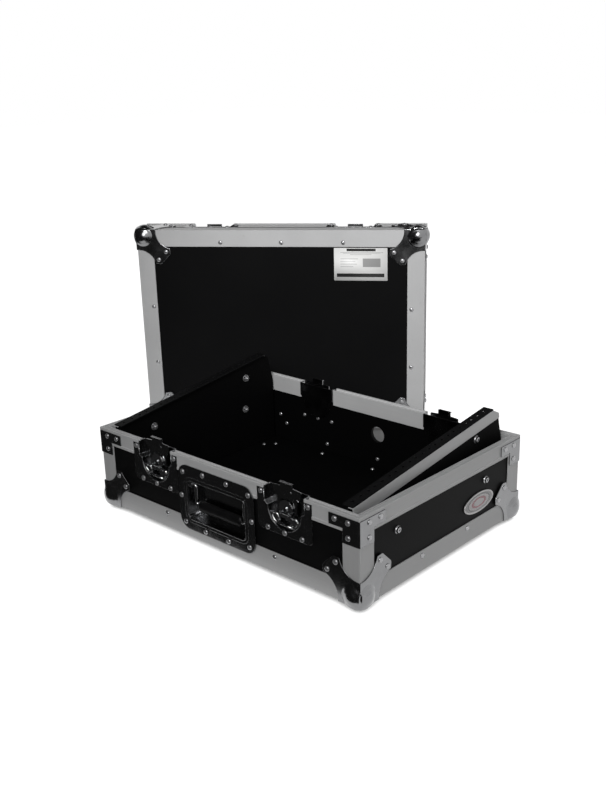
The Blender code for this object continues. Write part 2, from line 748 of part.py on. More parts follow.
def ear_outline():
    """One ear in its face's plane, from the case's corner out along the diagonal and back."""
    root = math.sqrt(0.5)
    middle = (EAR_WAIST_AT, EAR_WAIST + EAR_ARC_RADIUS)
    centre = ((middle[0] + middle[1]) * root, (middle[0] - middle[1]) * root)
    shoulder = ((EAR_SHOULDER[0] + EAR_SHOULDER[1]) * root, (EAR_SHOULDER[0] - EAR_SHOULDER[1]) * root)
    last = math.degrees(math.atan2(shoulder[1] - centre[1], shoulder[0] - centre[0]))
    first = 180 + math.degrees(math.asin((centre[1] + PROUD) / EAR_ARC_RADIUS))
    side = arc(centre, EAR_ARC_RADIUS, first, last, 4)
    end = [((EAR_END + EAR_HALF_END) * root, (EAR_END - EAR_HALF_END) * root)]
    half = side + end
    return [(-PROUD, -PROUD)] + half + [(b, a) for a, b in reversed(half)]


def ball_corner():
    """A ball over the case's corner and an ear on each of the three faces. The case fills +X, +Y and +Z."""
    ball = bmesh.new()
    bmesh.ops.create_uvsphere(ball, u_segments=12, v_segments=6, radius=BALL_RADIUS)
    ball = moved(ball, Matrix.Translation((BALL_INSET, BALL_INSET, BALL_INSET)))
    reach = BALL_INSET + BALL_RADIUS + CUT_PAST
    ball = cut(ball, box((-GAP, -GAP, -GAP), (reach, reach, reach)))
    root = math.sqrt(0.5)
    rivets = [((EAR_RIVET[0] + side * EAR_RIVET[1]) * root, (EAR_RIVET[0] - side * EAR_RIVET[1]) * root)
              for side in (-1, 1)]
    for axis in "XYZ":
        ear = prism(ear_outline(), -PROUD, -GAP, axis)
        first, second, third = AXES[axis]
        places = []
        for rivet_place in rivets:
            place = [0.0, 0.0, 0.0]
            place[first], place[second], place[third] = rivet_place[0], rivet_place[1], -PROUD
            places.append(place)
        outward = [0, 0, 0]
        outward[third] = -1
        ball = added(ball, riveted(ear, places, outward))
    return ball


def ball_corners(frames):
    mesh = None
    for prefix, frame in frames:
        for quarter, name in CORNERS:
            full_name = f"{prefix}_ball_corner_{name}"
            if mesh is None:
                item = piece(full_name, ball_corner(), CHROME, frame)
                mesh = item.data
            else:
                item = copy_of(mesh, full_name, frame)
            place_in(item, corner_matrix(quarter))


# Twist latches, each in a frame on its pivot: X along the side, Y inward from the outer plane, Z to the rim

def latch_dish():
    top = LATCH_DROP - RIM_LIP - GAP
    half = DISH_WIDTH / 2
    flange_outline = ([(half, top), (-half, top)]
                      + arc((-half + DISH_CORNER, -DISH_FOOT + DISH_CORNER), DISH_CORNER, 180, 270, 3)
                      + arc((half - DISH_CORNER, -DISH_FOOT + DISH_CORNER), DISH_CORNER, 270, 360, 3))
    mouth = LATCH_DROP - GAP
    back = POCKET_DEPTH + POCKET_WALL
    flange = prism(flange_outline, GAP, GAP + DISH_SHEET, "Y")
    pocket = prism(pocket_outline(POCKET_WALL, mouth), GAP + DISH_SHEET / 2, back, "Y")
    cavity = prism(pocket_outline(0, mouth + CUT_PAST), -CUT_PAST, POCKET_DEPTH, "Y")
    dish = cut(added(flange, pocket), cavity)
    stud = cylinder((0, 0), STUD_RADIUS, CAM_DISC_FRONT - GAP, POCKET_DEPTH + POCKET_WALL / 2, "Y", 12)
    places = [(side * LATCH_TOP_RIVET[0], GAP, LATCH_TOP_RIVET[1]) for side in (-1, 1)]
    places += [(side * LATCH_FOOT_RIVET_PITCH, GAP, -LATCH_FOOT_RIVET_DROP) for side in (-1, 0, 1)]
    return riveted(added(dish, stud), places, (0, -1, 0))


def latch_cam():
    """Disc with the wing's lugs in front and the eccentric that works the hook behind, bored for the stud."""
    cam = cylinder((0, 0), CAM_DISC_RADIUS, CAM_DISC_FRONT, CAM_DISC_BACK, "Y", 16)
    cam = added(cam, cylinder((0, CAM_THROW), CAM_RADIUS, CAM_DISC_BACK - OVERLAP, CAM_BACK, "Y", 16))
    bore = cylinder((0, 0), STUD_RADIUS + GAP, CAM_DISC_FRONT - CUT_PAST, CAM_BACK + CUT_PAST, "Y", 12)
    cam = cut(cam, bore)
    for side in (-1, 1):
        low, high = sorted((side * LUG_INNER, side * LUG_OUTER))
        lug = box((low, WING_AXIS_DEPTH - LUG_HALF_HEIGHT + GAP, -WING_AXIS_DROP - LUG_HALF_HEIGHT),
                  (high, CAM_DISC_FRONT + OVERLAP, -WING_AXIS_DROP + LUG_HALF_HEIGHT))
        cam = added(cam, lug)
    bore = cylinder((WING_AXIS_DEPTH, -WING_AXIS_DROP), WING_PIN_RADIUS + GAP,
                    -LUG_OUTER - CUT_PAST, LUG_OUTER + CUT_PAST, "X", 8)
    return cut(cam, bore)


def latch_hook():
    """The plate that the eccentric lifts and draws down, with a lip bent outward at its tip."""
    rim = LATCH_DROP
    waist = rim - HOOK_WAIST_DROP
    shoulder = rim + HOOK_SHOULDER_RISE
    outline = [(-HOOK_HALF_BODY, -HOOK_FOOT), (HOOK_HALF_BODY, -HOOK_FOOT),
               (HOOK_HALF_BODY, waist - HOOK_SHOULDER_SLANT), (HOOK_HALF_SHOULDER, waist),
               (HOOK_HALF_SHOULDER, shoulder), (HOOK_HALF_TIP, shoulder + HOOK_TIP_SLANT),
               (HOOK_HALF_TIP, rim + HOOK_TIP_RISE)]
    outline += [(-x, z) for x, z in reversed(outline[2:])]
    back = HOOK_FRONT + HOOK_SHEET
    hook = prism(outline, HOOK_FRONT, back, "Y")
    window_half_width = CAM_RADIUS + CAM_THROW + CAM_PLAY / 2
    window_half_height = CAM_RADIUS + CAM_PLAY
    window = box((-window_half_width, 0, CAM_THROW - window_half_height),
                 (window_half_width, back + CUT_PAST, CAM_THROW + window_half_height))
    lip = box((-HOOK_HALF_TIP + GAP, HOOK_LIP_FRONT, rim + HOOK_TIP_RISE - HOOK_SHEET),
              (HOOK_HALF_TIP - GAP, HOOK_FRONT + HOOK_SHEET / 2, rim + HOOK_TIP_RISE - GAP))
    return added(cut(hook, window), lip)


def latch_wing():
    """The folding wing, in a frame on its own hinge: a D-shaped ring below a short hinge barrel."""
    drop = -WING_AXIS_DROP
    foot_angle = math.degrees(math.asin(WING_FOOT / WING_RADIUS))
    top_angle = math.degrees(math.asin(WING_TOP / WING_RADIUS))
    outline = (arc((0, 0), WING_RADIUS, 180 + top_angle, 180 + foot_angle, 3)
               + arc((0, 0), WING_RADIUS, 360 - foot_angle, 360 - top_angle, 3)
               + [(WING_HALF_NECK, -WING_TOP), (WING_HALF_NECK, drop), (-WING_HALF_NECK, drop),
                  (-WING_HALF_NECK, -WING_TOP)])
    outline = [(x, z - drop) for x, z in outline]
    wing = prism(outline, -WING_SHEET / 2, WING_SHEET / 2, "Y")
    hole = rounded_rectangle(-WING_HOLE_HALF_WIDTH, WING_HOLE_HALF_WIDTH, -WING_FOOT + WING_BAR - drop,
                             -WING_TOP - WING_BAR - drop, WING_HOLE_CORNER, 2)
    wing = cut(wing, prism(hole, -CUT_PAST, CUT_PAST, "Y"))
    barrel = cylinder((0, 0), WING_BARREL_RADIUS, -LUG_INNER + GAP, LUG_INNER - GAP, "X", 8)
    pin = cylinder((0, 0), WING_PIN_RADIUS, -LUG_OUTER, LUG_OUTER, "X", 8)
    return added(wing, barrel, pin)


def latches(frame):
    meshes = {}
    makers = {"dish": latch_dish, "hook": latch_hook, "cam": latch_cam, "wing": latch_wing}
    for side_name, quarter in (("front", 0), ("rear", 2)):
        for hand, side in (("left", -1), ("right", 1)):
            along = side * LATCH_SPREAD * (1 if quarter == 0 else -1)
            matrix = side_matrix(quarter, BASE_HEIGHT - LATCH_DROP) @ Matrix.Translation((along, 0, 0))
            pivot = empty(f"latch_{side_name}_{hand}_pivot", (0, 0, 0), parent=frame)
            place_in(pivot, matrix)
            hinge_place = (0, WING_AXIS_DEPTH, -WING_AXIS_DROP)
            hinge = empty(f"latch_{side_name}_{hand}_wing_hinge", hinge_place, parent=pivot)
            for part, maker in makers.items():
                name = f"latch_{side_name}_{hand}_{part}"
                holder = hinge if part == "wing" else pivot
                if part in meshes:
                    copy_of(meshes[part], name, holder)
                else:
                    meshes[part] = piece(name, maker(), CHROME, holder).data


def catch_dish():
    """The lid's half of a latch, in a side's frame at the rim: an open pocket with a lip for the hook."""
    half = DISH_WIDTH / 2
    top = -RIM_LIP - GAP
    flange_outline = ([(half, top), (-half, top)]
                      + arc((-half + DISH_CORNER, -CATCH_DROP + DISH_CORNER), DISH_CORNER, 180, 270, 3)
                      + arc((half - DISH_CORNER, -CATCH_DROP + DISH_CORNER), DISH_CORNER, 270, 360, 3))
    flange = prism(flange_outline, GAP, GAP + DISH_SHEET, "Y")
    outer = POCKET_HALF_MOUTH + POCKET_WALL
    inner = POCKET_HALF_MOUTH
    back = RIM_WIDTH - SKIN - GAP
    depth = back - CATCH_WALL
    pocket = box((-outer, GAP + DISH_SHEET / 2, -catch_pocket_foot(POCKET_WALL)), (outer, back, -GAP))
    cavity = box((-inner, -CUT_PAST, -catch_pocket_foot(0)), (inner, depth, CUT_PAST))
    dish = cut(added(flange, pocket), cavity)
    lip = box((-CATCH_HALF_LIP, GAP, -CATCH_LIP - GAP), (CATCH_HALF_LIP, back - CATCH_WALL / 2, -GAP * 2))
    half_slot = HOOK_HALF_TIP + CATCH_PLAY
    lip = cut(lip, box((-half_slot, HOOK_LIP_FRONT + CATCH_PLAY, -CUT_PAST), (half_slot, depth, CUT_PAST)))
    places = [(side * LATCH_TOP_RIVET[0], GAP, LATCH_TOP_RIVET[1] - LATCH_DROP) for side in (-1, 1)]
    places += [(side * LATCH_FOOT_RIVET_PITCH, GAP, -CATCH_DROP + DISH_CORNER / 2) for side in (-1, 0, 1)]
    return riveted(added(dish, lip), places, (0, -1, 0))


def catches(frame):
    mesh = None
    for side_name, quarter in (("front", 0), ("rear", 2)):
        for hand, side in (("left", -1), ("right", 1)):
            along = side * LATCH_SPREAD * (1 if quarter == 0 else -1)
            name = f"lid_catch_{side_name}_{hand}"
            if mesh is None:
                item = piece(name, catch_dish(), CHROME, frame)
                mesh = item.data
            else:
                item = copy_of(mesh, name, frame)
            place_in(item, side_matrix(quarter, LID_HEIGHT) @ Matrix.Translation((along, 0, 0)))


# Recessed handle, in a frame at the plate's middle on the front's outer plane

def handle_dish():
    width, height = HANDLE_PLATE
    outline = rounded_rectangle(-width / 2, width / 2, -height / 2, height / 2, HANDLE_CORNER, 4)
    plate = prism(outline, -BEAD_STEP - PROUD, -BEAD_STEP - GAP, "Y")
    pocket = prism(handle_pocket_outline(POCKET_WALL), -BEAD_STEP - GAP - PLATE / 2,
                   HANDLE_POCKET_DEPTH + POCKET_WALL, "Y")
    cavity = prism(handle_pocket_outline(0), -CUT_PAST, HANDLE_POCKET_DEPTH, "Y")
    dish = cut(added(plate, pocket), cavity)
    for side in (-1, 1):
        low, high = sorted((side * (HANDLE_POCKET_HALF_WIDTH - BEARING_WIDTH),
                            side * (HANDLE_POCKET_HALF_WIDTH + POCKET_WALL / 2)))
        bearing = box((low, BEARING_FRONT, BAIL_AXIS_RISE - BEARING_HALF_HEIGHT),
                      (high, HANDLE_POCKET_DEPTH + POCKET_WALL / 2, BAIL_AXIS_RISE + BEARING_HALF_HEIGHT))
        within = prism(handle_pocket_outline(POCKET_WALL / 2), -CUT_PAST, HANDLE_POCKET_DEPTH + CUT_PAST, "Y")
        bearing = combined(bearing, within, "INTERSECT")
        bore_end = side * (HANDLE_POCKET_HALF_WIDTH - BEARING_END_WALL)
        low, high = sorted((side * (HANDLE_POCKET_HALF_WIDTH - BEARING_WIDTH - CUT_PAST), bore_end))
        bore = cylinder((BAIL_AXIS_DEPTH, BAIL_AXIS_RISE), BAIL_ROD + GAP, low, high, "X", 12)
        dish = added(dish, cut(bearing, bore))
    places = [(side * x, -BEAD_STEP - PROUD, z) for x, z in HANDLE_RIVETS for side in (-1, 1)]
    return riveted(dish, places, (0, -1, 0))


def handle_bail():
    """A bent rod in its hinge's frame: two hinge ends, two arms and the bar inside the grip."""
    end = HANDLE_POCKET_HALF_WIDTH - BEARING_END_WALL - GAP
    arm = BAIL_HALF_SPAN
    half = [(end, 0, 0), (arm + BAIL_TOP_BEND, 0, 0), (arm, 0, -BAIL_TOP_BEND),
            (arm, 0, -BAIL_DROP + BAIL_BAR_BEND), (arm - BAIL_BAR_BEND, 0, -BAIL_DROP)]
    path = half + [(-x, y, z) for x, y, z in reversed(half)]
    return tube(path, BAIL_ROD, 10)


def handle_grip():
    """A moulded grip of oval section on the bail's bar."""
    outline = []
    for x, z in circle((0, 0), 1, 14, math.pi / 14):
        outline.append((x * GRIP_HALF_DEPTH, -BAIL_DROP + z * GRIP_HALF_HEIGHT))
    half_length = BAIL_HALF_SPAN - GRIP_TO_ARM
    grip = prism(outline, -half_length, half_length, "X")
    half_bore = half_length + CUT_PAST
    return cut(grip, cylinder((0, -BAIL_DROP), BAIL_ROD + GAP, -half_bore, half_bore, "X", 10))


def handle(frame):
    place = empty("handle_frame", (0, -CASE_DEPTH / 2, BASE_HEIGHT - HANDLE_DROP), parent=frame)
    hinge = empty("handle_hinge", (0, BAIL_AXIS_DEPTH, BAIL_AXIS_RISE), parent=place)
    piece("handle_dish", handle_dish(), CHROME, place)
    piece("handle_bail", handle_bail(), CHROME, hinge)
    piece("handle_grip", handle_grip(), RUBBER, hinge)


# Rack cheeks, in a frame with X inward from the case's side, Y back from its front plane and Z up

def top_line(depth):
    return BASE_HEIGHT + CHEEK_RISE + depth * math.tan(CHEEK_SLOPE)


def cheek_rear():
    """Both ends of the slanting rear edge: below the clipped corner, and just under the rim."""
    return ((CASE_DEPTH - CHEEK_CLIP_END[0], BASE_HEIGHT + CHEEK_CLIP_END[1]),
            (CASE_DEPTH - CHEEK_REAR[0], BASE_HEIGHT + CHEEK_REAR[1]))


def cheek_board():
    drop = (SKIN + GAP) / math.cos(CHEEK_SLOPE)
    clip_end, rear = cheek_rear()
    top_end = CASE_DEPTH - CHEEK_TOP_END
    outline = [(CHEEK_FRONT, WALL_FOOT), (rear[0], WALL_FOOT), rear, clip_end,
               (top_end, top_line(top_end) - drop), (CHEEK_FRONT, top_line(CHEEK_FRONT) - drop)]
    outer = CHEEK_INSET + SKIN + GAP
    board = prism(outline, outer, outer + CHEEK_BOARD, "X")
    inside = outer + CHEEK_BOARD
    side_face = INSET + BOARD + GAP
    for depth, bolt_drop in SIDE_BOLTS:
        place = (depth, BASE_HEIGHT - bolt_drop)
        spacer = cylinder(place, SPACER_RADIUS, side_face, outer + OVERLAP, "X", 12)
        shank = cylinder(place, BOLT_RADIUS, INSET - GAP - OVERLAP, side_face + OVERLAP, "X", 10)
        head = cylinder(place, BOLT_HEAD_RADIUS, INSET - GAP - BOLT_HEAD_HEIGHT, INSET - GAP, "X", 12)
        nut = cylinder(place, BOLT_HEAD_RADIUS, inside - OVERLAP, inside + BOLT_HEAD_HEIGHT, "X", 6)
        board = added(board, spacer, shank, head, nut)
    for depth, bolt_drop in UPPER_BOLTS:
        place = (depth, top_line(depth) - bolt_drop)
        head = cylinder(place, BOLT_HEAD_RADIUS, outer - BOLT_HEAD_HEIGHT, outer + OVERLAP, "X", 12)
        nut = cylinder(place, BOLT_HEAD_RADIUS, inside - OVERLAP, inside + BOLT_HEAD_HEIGHT, "X", 6)
        board = added(board, head, nut)
    return board


def sloped_length():
    return (CASE_DEPTH - CHEEK_TOP_END - CHEEK_FRONT) / math.cos(CHEEK_SLOPE)


def on_slope(shape):
    """From a frame lying along the sloping top line to the cheek's frame."""
    place = Matrix.Translation((0, CHEEK_FRONT, top_line(CHEEK_FRONT)))
    return moved(shape, place @ Matrix.Rotation(CHEEK_SLOPE, 4, "X"))


def to_slope(point):
    """A point of the cheek's plane, in the frame lying along the sloping top line."""
    back, up = point[0] - CHEEK_FRONT, point[1] - top_line(CHEEK_FRONT)
    cosine, sine = math.cos(CHEEK_SLOPE), math.sin(CHEEK_SLOPE)
    return back * cosine + up * sine, up * cosine - back * sine


def cap_angle():
    """The aluminium angle over the cheek's top edge. Its long leg outside runs on to the rear edge."""
    outer = CHEEK_INSET
    inner = outer + SKIN + GAP + CHEEK_BOARD
    clip_end, rear = (to_slope(point) for point in cheek_rear())
    share = (clip_end[1] + CAP_LEG) / (clip_end[1] - rear[1])
    foot = (clip_end[0] + share * (rear[0] - clip_end[0]), -CAP_LEG)
    leg = prism([(0, -CAP_LEG), foot, clip_end, (sloped_length(), 0), (0, 0)], outer, outer + SKIN, "X")
    flange = box((outer + SKIN / 2, 0, -SKIN), (inner, sloped_length(), 0))
    return on_slope(added(leg, flange))


def rack_rail():
    """The flat rail on the cap, overhanging inward, with three tapped holes for each rack unit."""
    strip = box((CHEEK_INSET, 0, GAP), (CHEEK_INSET + RAIL_WIDTH, sloped_length(), GAP + RAIL_SHEET))
    units = int(sloped_length() // RACK_UNIT)
    start = (sloped_length() - units * RACK_UNIT) / 2
    holes = []
    for unit in range(units):
        for step in RACK_HOLE_STEPS:
            place = (RACK_MARGIN, start + unit * RACK_UNIT + step)
            holes.append(cylinder(place, RACK_HOLE_RADIUS, -CUT_PAST, CUT_PAST, "Z", 6))
    return on_slope(cut(strip, joined(holes)))


def cheeks(frame):
    for hand, side in (("left", 1), ("right", -1)):
        corner = Matrix.Translation((-side * CASE_WIDTH / 2, -CASE_DEPTH / 2, 0))
        place = corner @ Matrix.Diagonal((side, 1, 1, 1))
        piece(f"rack_cheek_{hand}", moved(cheek_board(), place), LAMINATE, frame)
        piece(f"cheek_cap_{hand}", moved(cap_angle(), place), ALUMINIUM, frame)
        piece(f"rack_rail_{hand}", moved(rack_rail(), place), PAINT, frame)


def badge(frame):
    """A plain oval badge with a raised rim on the right board."""
    along = BADGE_DEPTH - CASE_DEPTH / 2
    height = (EDGE_LEG + BASE_HEIGHT - RIM_OUTER_LEG) / 2 - BADGE_DROP
    ovals = []
    for inward in (0, BADGE_RIM):
        half_width, half_height = BADGE_HALF_SIZE[0] - inward, BADGE_HALF_SIZE[1] - inward
        ovals.append([(along + half_width * x, height + half_height * z) for x, z in circle((0, 0), 1, 24)])
    back = INSET - GAP
    front = back - BADGE_THICKNESS
    recess = prism(ovals[1], front - CUT_PAST, front + BADGE_RIM_RISE, "Y")
    shape = cut(prism(ovals[0], front, back, "Y"), recess)
    place_in(piece("badge", shape, BADGE, frame), side_matrix(1))


def main():
    clear_scene()
    base_place = Vector((0, CASE_DEPTH / 2 - RIM_TOP_MIDDLE, -BASE_HEIGHT))
    base = empty("base_frame", base_place)
    across = Vector((math.cos(LID_TURN), math.sin(LID_TURN), 0))
    lid_place = base_place + Vector((*LID_CORNER, CASE_DEPTH / 2)) + across * CASE_WIDTH / 2
    lid = empty("lid_frame", lid_place, (-math.pi / 2, 0, LID_TURN))
    base_boards(base)
    base_profiles(base)
    base_rims(base)
    base_corners(base)
    cheeks(base)
    latches(base)
    handle(base)
    badge(base)
    lid_boards(lid)
    lid_profiles(lid)
    catches(lid)
    ball_corners((("base", base), ("lid", lid)))


main()
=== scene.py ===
"""Looks of the mixer flight case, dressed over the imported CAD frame."""
import math

import bmesh
import bpy
from mathutils import Euler, Matrix, Vector


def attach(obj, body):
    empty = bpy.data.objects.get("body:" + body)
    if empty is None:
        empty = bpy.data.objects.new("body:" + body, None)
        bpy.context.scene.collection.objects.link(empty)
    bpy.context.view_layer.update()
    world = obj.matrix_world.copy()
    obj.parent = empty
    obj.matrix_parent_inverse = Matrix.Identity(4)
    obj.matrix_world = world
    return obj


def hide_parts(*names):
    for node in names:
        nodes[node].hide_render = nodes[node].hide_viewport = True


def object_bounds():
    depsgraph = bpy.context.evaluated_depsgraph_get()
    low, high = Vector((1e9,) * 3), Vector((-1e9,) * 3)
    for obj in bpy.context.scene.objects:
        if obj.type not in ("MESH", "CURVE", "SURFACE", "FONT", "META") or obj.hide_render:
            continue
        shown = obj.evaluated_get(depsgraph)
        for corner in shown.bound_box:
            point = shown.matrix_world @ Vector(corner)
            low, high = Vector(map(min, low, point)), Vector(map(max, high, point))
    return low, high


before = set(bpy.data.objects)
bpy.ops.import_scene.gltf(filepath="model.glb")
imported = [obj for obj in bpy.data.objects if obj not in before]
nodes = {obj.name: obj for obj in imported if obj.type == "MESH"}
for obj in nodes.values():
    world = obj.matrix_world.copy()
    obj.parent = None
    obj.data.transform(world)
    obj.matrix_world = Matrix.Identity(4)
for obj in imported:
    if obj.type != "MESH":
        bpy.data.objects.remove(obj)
cad_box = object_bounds()
scene = bpy.context.scene

MM = 0.001
IDENTITY = Matrix.Identity(4)


def mm(*values):
    """Millimetres as a tuple in metres."""
    return tuple(value * MM for value in values)


def scaled(points):
    """Points in millimetres as a list in metres."""
    return [mm(*point) for point in points]


# Sizes of the case, as in the CAD

CASE_WIDTH = 525.0 * MM
CASE_DEPTH = 372 * MM
BASE_HEIGHT = 126 * MM
LID_HEIGHT = 71 * MM
GAP = 0.3 * MM
BOARD = 7 * MM
SKIN = 1.5 * MM
PLATE = 1.5 * MM
EDGE_LEG = 30 * MM
CORNER_LEG = 28.5 * MM
RIM_OUTER_LEG = 25 * MM
RIM_LIP = 4.5 * MM
BEAD_STEP = 1 * MM
EDGE_RIVET_LINE = 22.5 * MM
LONG_RIVET_PITCH = 112 * MM
SHORT_RIVET_PITCH = 108 * MM
LID_LONG_RIVET_SHIFT = 6 * MM
LID_SHORT_RIVET_SHIFT = 11 * MM
LATCH_SPREAD = 132.5 * MM
LATCH_DROP = 26.5 * MM
HANDLE_DROP = 62 * MM
CHEEK_SLOPE = math.radians(7.5)
CHEEK_RISE = 1.4 * MM
CHEEK_FRONT = 12 * MM
CHEEK_TOP_END = 41 * MM
CHEEK_INSET = 20.2 * MM
CHEEK_BOARD = 6.5 * MM
BALL_RADIUS = 20.1 * MM
BALL_INSET = 11.5 * MM
INSET = SKIN + GAP
RIM_WIDTH = 2 * INSET + BOARD
PROUD = GAP + PLATE
CUT_PAST = 5 * MM

BASE_PLACE = Matrix.Translation((0, CASE_DEPTH / 2 - 0.25 * MM, -BASE_HEIGHT))
LID_TURN = math.radians(33.4)
LID_ACROSS = Vector((math.cos(LID_TURN), math.sin(LID_TURN), 0))
LID_CORNER = Vector((*mm(-498.1, 97.7), CASE_DEPTH / 2))
LID_ORIGIN = BASE_PLACE.to_translation() + LID_CORNER + LID_ACROSS * CASE_WIDTH / 2
LID_PLACE = Matrix.Translation(LID_ORIGIN) @ Euler((-math.pi / 2, 0, LID_TURN)).to_matrix().to_4x4()
QUARTERS = ("front", "right", "rear", "left")
CORNER_NAMES = ("front_left", "front_right", "rear_right", "rear_left")


def side_matrix(quarter, height=0.0):
    """From a side's own frame (X along it, Y inward from its outer plane) to the tray's frame."""
    reach = (CASE_WIDTH if quarter % 2 else CASE_DEPTH) / 2
    turn = Matrix.Rotation(quarter * math.pi / 2, 4, "Z")
    return turn @ Matrix.Translation((0, -reach, height))


def corner_matrix(quarter, height=0.0):
    """From a corner's own frame (X and Y both inward) to the tray's frame."""
    corner = ((-1, -1), (1, -1), (1, 1), (-1, 1))[quarter]
    place = Matrix.Translation((corner[0] * CASE_WIDTH / 2, corner[1] * CASE_DEPTH / 2, height))
    return place @ Matrix.Rotation(quarter * math.pi / 2, 4, "Z")


def latch_spots(height):
    """Each latch's end of a name and its frame in the tray: X along the side, Y inward, Z up."""
    for quarter in (0, 2):
        for hand, side in (("left", -1), ("right", 1)):
            along = Matrix.Translation((side * LATCH_SPREAD * (1 - quarter), 0, 0))
            yield f"{QUARTERS[quarter]}_{hand}", side_matrix(quarter, height) @ along


LATCH_PLACES = [(f"latch_{name}", BASE_PLACE @ spot) for name, spot in latch_spots(BASE_HEIGHT - LATCH_DROP)]
CATCH_PLACES = [(f"lid_catch_{name}", LID_PLACE @ spot) for name, spot in latch_spots(LID_HEIGHT)]
HANDLE_PLACE = BASE_PLACE @ side_matrix(0, BASE_HEIGHT - HANDLE_DROP)


# Camera

LENS = 45.85
SENSOR = 36.0
CAMERA_PLACE = (0.9944, -0.87705, 0.5455)
CAMERA_YAW = math.radians(43.13)
CAMERA_PITCH = math.radians(18.83)
CAMERA_ROLL = math.radians(1.65)
CLIP_END = 50


def add_camera():
    ahead = Vector((-math.sin(CAMERA_YAW) * math.cos(CAMERA_PITCH),
                    math.cos(CAMERA_YAW) * math.cos(CAMERA_PITCH),
                    -math.sin(CAMERA_PITCH)))
    right = Vector((math.cos(CAMERA_YAW), math.sin(CAMERA_YAW), 0))
    down = ahead.cross(right)
    turned_right = math.cos(CAMERA_ROLL) * right + math.sin(CAMERA_ROLL) * down
    turned_down = math.cos(CAMERA_ROLL) * down - math.sin(CAMERA_ROLL) * right
    data = bpy.data.cameras.new("camera")
    data.lens = LENS
    data.sensor_width = SENSOR
    data.sensor_fit = "AUTO"
    data.clip_end = CLIP_END
    camera = bpy.data.objects.new("camera", data)
    turn = Matrix((turned_right, -turned_down, -ahead)).transposed().to_4x4()
    camera.matrix_world = Matrix.Translation(CAMERA_PLACE) @ turn
    scene.collection.objects.link(camera)
    scene.camera = camera


# Shapes

AXES = {"X": (1, 2, 0), "Y": (0, 2, 1), "Z": (0, 1, 2)}
WELD_AT = 1e-6


def prism(outline, low, high, axis):
    """Extrude a closed outline along one axis. Its points lie in the plane of the other two, in order."""
    shape = bmesh.new()
    first, second, third = AXES[axis]
    ends = []
    for level in (low, high):
        ring = []
        for point in outline:
            place = [0.0, 0.0, 0.0]
            place[first], place[second], place[third] = point[0], point[1], level
            ring.append(shape.verts.new(place))
        ends.append(ring)
        shape.faces.new(ring)
    count = len(outline)
    for i in range(count):
        j = (i + 1) % count
        shape.faces.new((ends[0][i], ends[0][j], ends[1][j], ends[1][i]))
    bmesh.ops.recalc_face_normals(shape, faces=shape.faces)
    return shape


def skinned(shape, rings, closed=False):
    """Faces from each ring of vertices to the next, and over both ends. A ring can be one point."""
    following = rings[1:] + rings[:1] if closed else rings[1:]
    for low, high in zip(rings, following):
        count = max(len(low), len(high))
        for i in range(count):
            j = (i + 1) % count
            if len(low) == 1:
                shape.faces.new((low[0], high[j], high[i]))
            elif len(high) == 1:
                shape.faces.new((low[i], low[j], high[0]))
            else:
                shape.faces.new((low[i], low[j], high[j], high[i]))
    for end in (rings[0], rings[-1]):
        if len(end) > 1 and not closed:
            shape.faces.new(end)
    bmesh.ops.recalc_face_normals(shape, faces=shape.faces)
    return shape


def box(low, high):
    (x0, y0, z0), (x1, y1, z1) = low, high
    return prism([(x0, y0), (x1, y0), (x1, y1), (x0, y1)], z0, z1, "Z")


def circle(centre, radius, sides, start=0.0):
    step = 2 * math.pi / sides
    return [(centre[0] + radius * math.cos(start + i * step), centre[1] + radius * math.sin(start + i * step))
            for i in range(sides)]


def cylinder(centre, radius, low, high, axis, sides=32):
    return prism(circle(centre, radius, sides, math.pi / sides), low, high, axis)


def arc(centre, radius, start, end, steps):
    """Points along an arc, both ends included. Angles in degrees."""
    points = []
    for i in range(steps + 1):
        angle = math.radians(start + (end - start) * i / steps)
        points.append((centre[0] + radius * math.cos(angle), centre[1] + radius * math.sin(angle)))
    return points


def rounded_rectangle(left, right, foot, top, radius, steps=8):
    return (arc((right - radius, top - radius), radius, 0, 90, steps)
            + arc((left + radius, top - radius), radius, 90, 180, steps)
            + arc((left + radius, foot + radius), radius, 180, 270, steps)
            + arc((right - radius, foot + radius), radius, 270, 360, steps))


def moved(shape, matrix):
    bmesh.ops.transform(shape, matrix=matrix, verts=shape.verts)
    if matrix.determinant() < 0:
        bmesh.ops.reverse_faces(shape, faces=shape.faces)
    return shape


def facing(place, outward):
    turn = Vector((0, 0, 1)).rotation_difference(Vector(outward)).to_matrix().to_4x4()
    return Matrix.Translation(place) @ turn


def repeated(shape, places):
    """One shape with a copy at each place."""
    source = bpy.data.meshes.new("source")
    shape.to_mesh(source)
    shape.free()
    whole = bmesh.new()
    for place in places:
        count = len(whole.verts)
        whole.from_mesh(source)
        whole.verts.ensure_lookup_table()
        bmesh.ops.transform(whole, matrix=place, verts=whole.verts[count:])
    bpy.data.meshes.remove(source)
    return whole


def joined(shapes):
    """Several shapes as one, each still a body of its own."""
    whole = bmesh.new()
    for shape in shapes:
        mesh = bpy.data.meshes.new("part")
        shape.to_mesh(mesh)
        shape.free()
        whole.from_mesh(mesh)
        bpy.data.meshes.remove(mesh)
    return whole


def assign(item, settings):
    for key, value in settings.items():
        setattr(item, key, value)
    return item


def modify(item, name, kind, **settings):
    assign(item.modifiers.new(name, kind), settings)


def through_modifiers(shape, dress):
    """The shape after the modifiers that dress puts on it."""
    mesh = bpy.data.meshes.new("work")
    shape.to_mesh(mesh)
    shape.free()
    item = bpy.data.objects.new("work", mesh)
    scene.collection.objects.link(item)
    dress(item)
    result = bmesh.new()
    result.from_object(item, bpy.context.evaluated_depsgraph_get())
    bpy.data.objects.remove(item)
    bpy.data.meshes.remove(mesh)
    return result


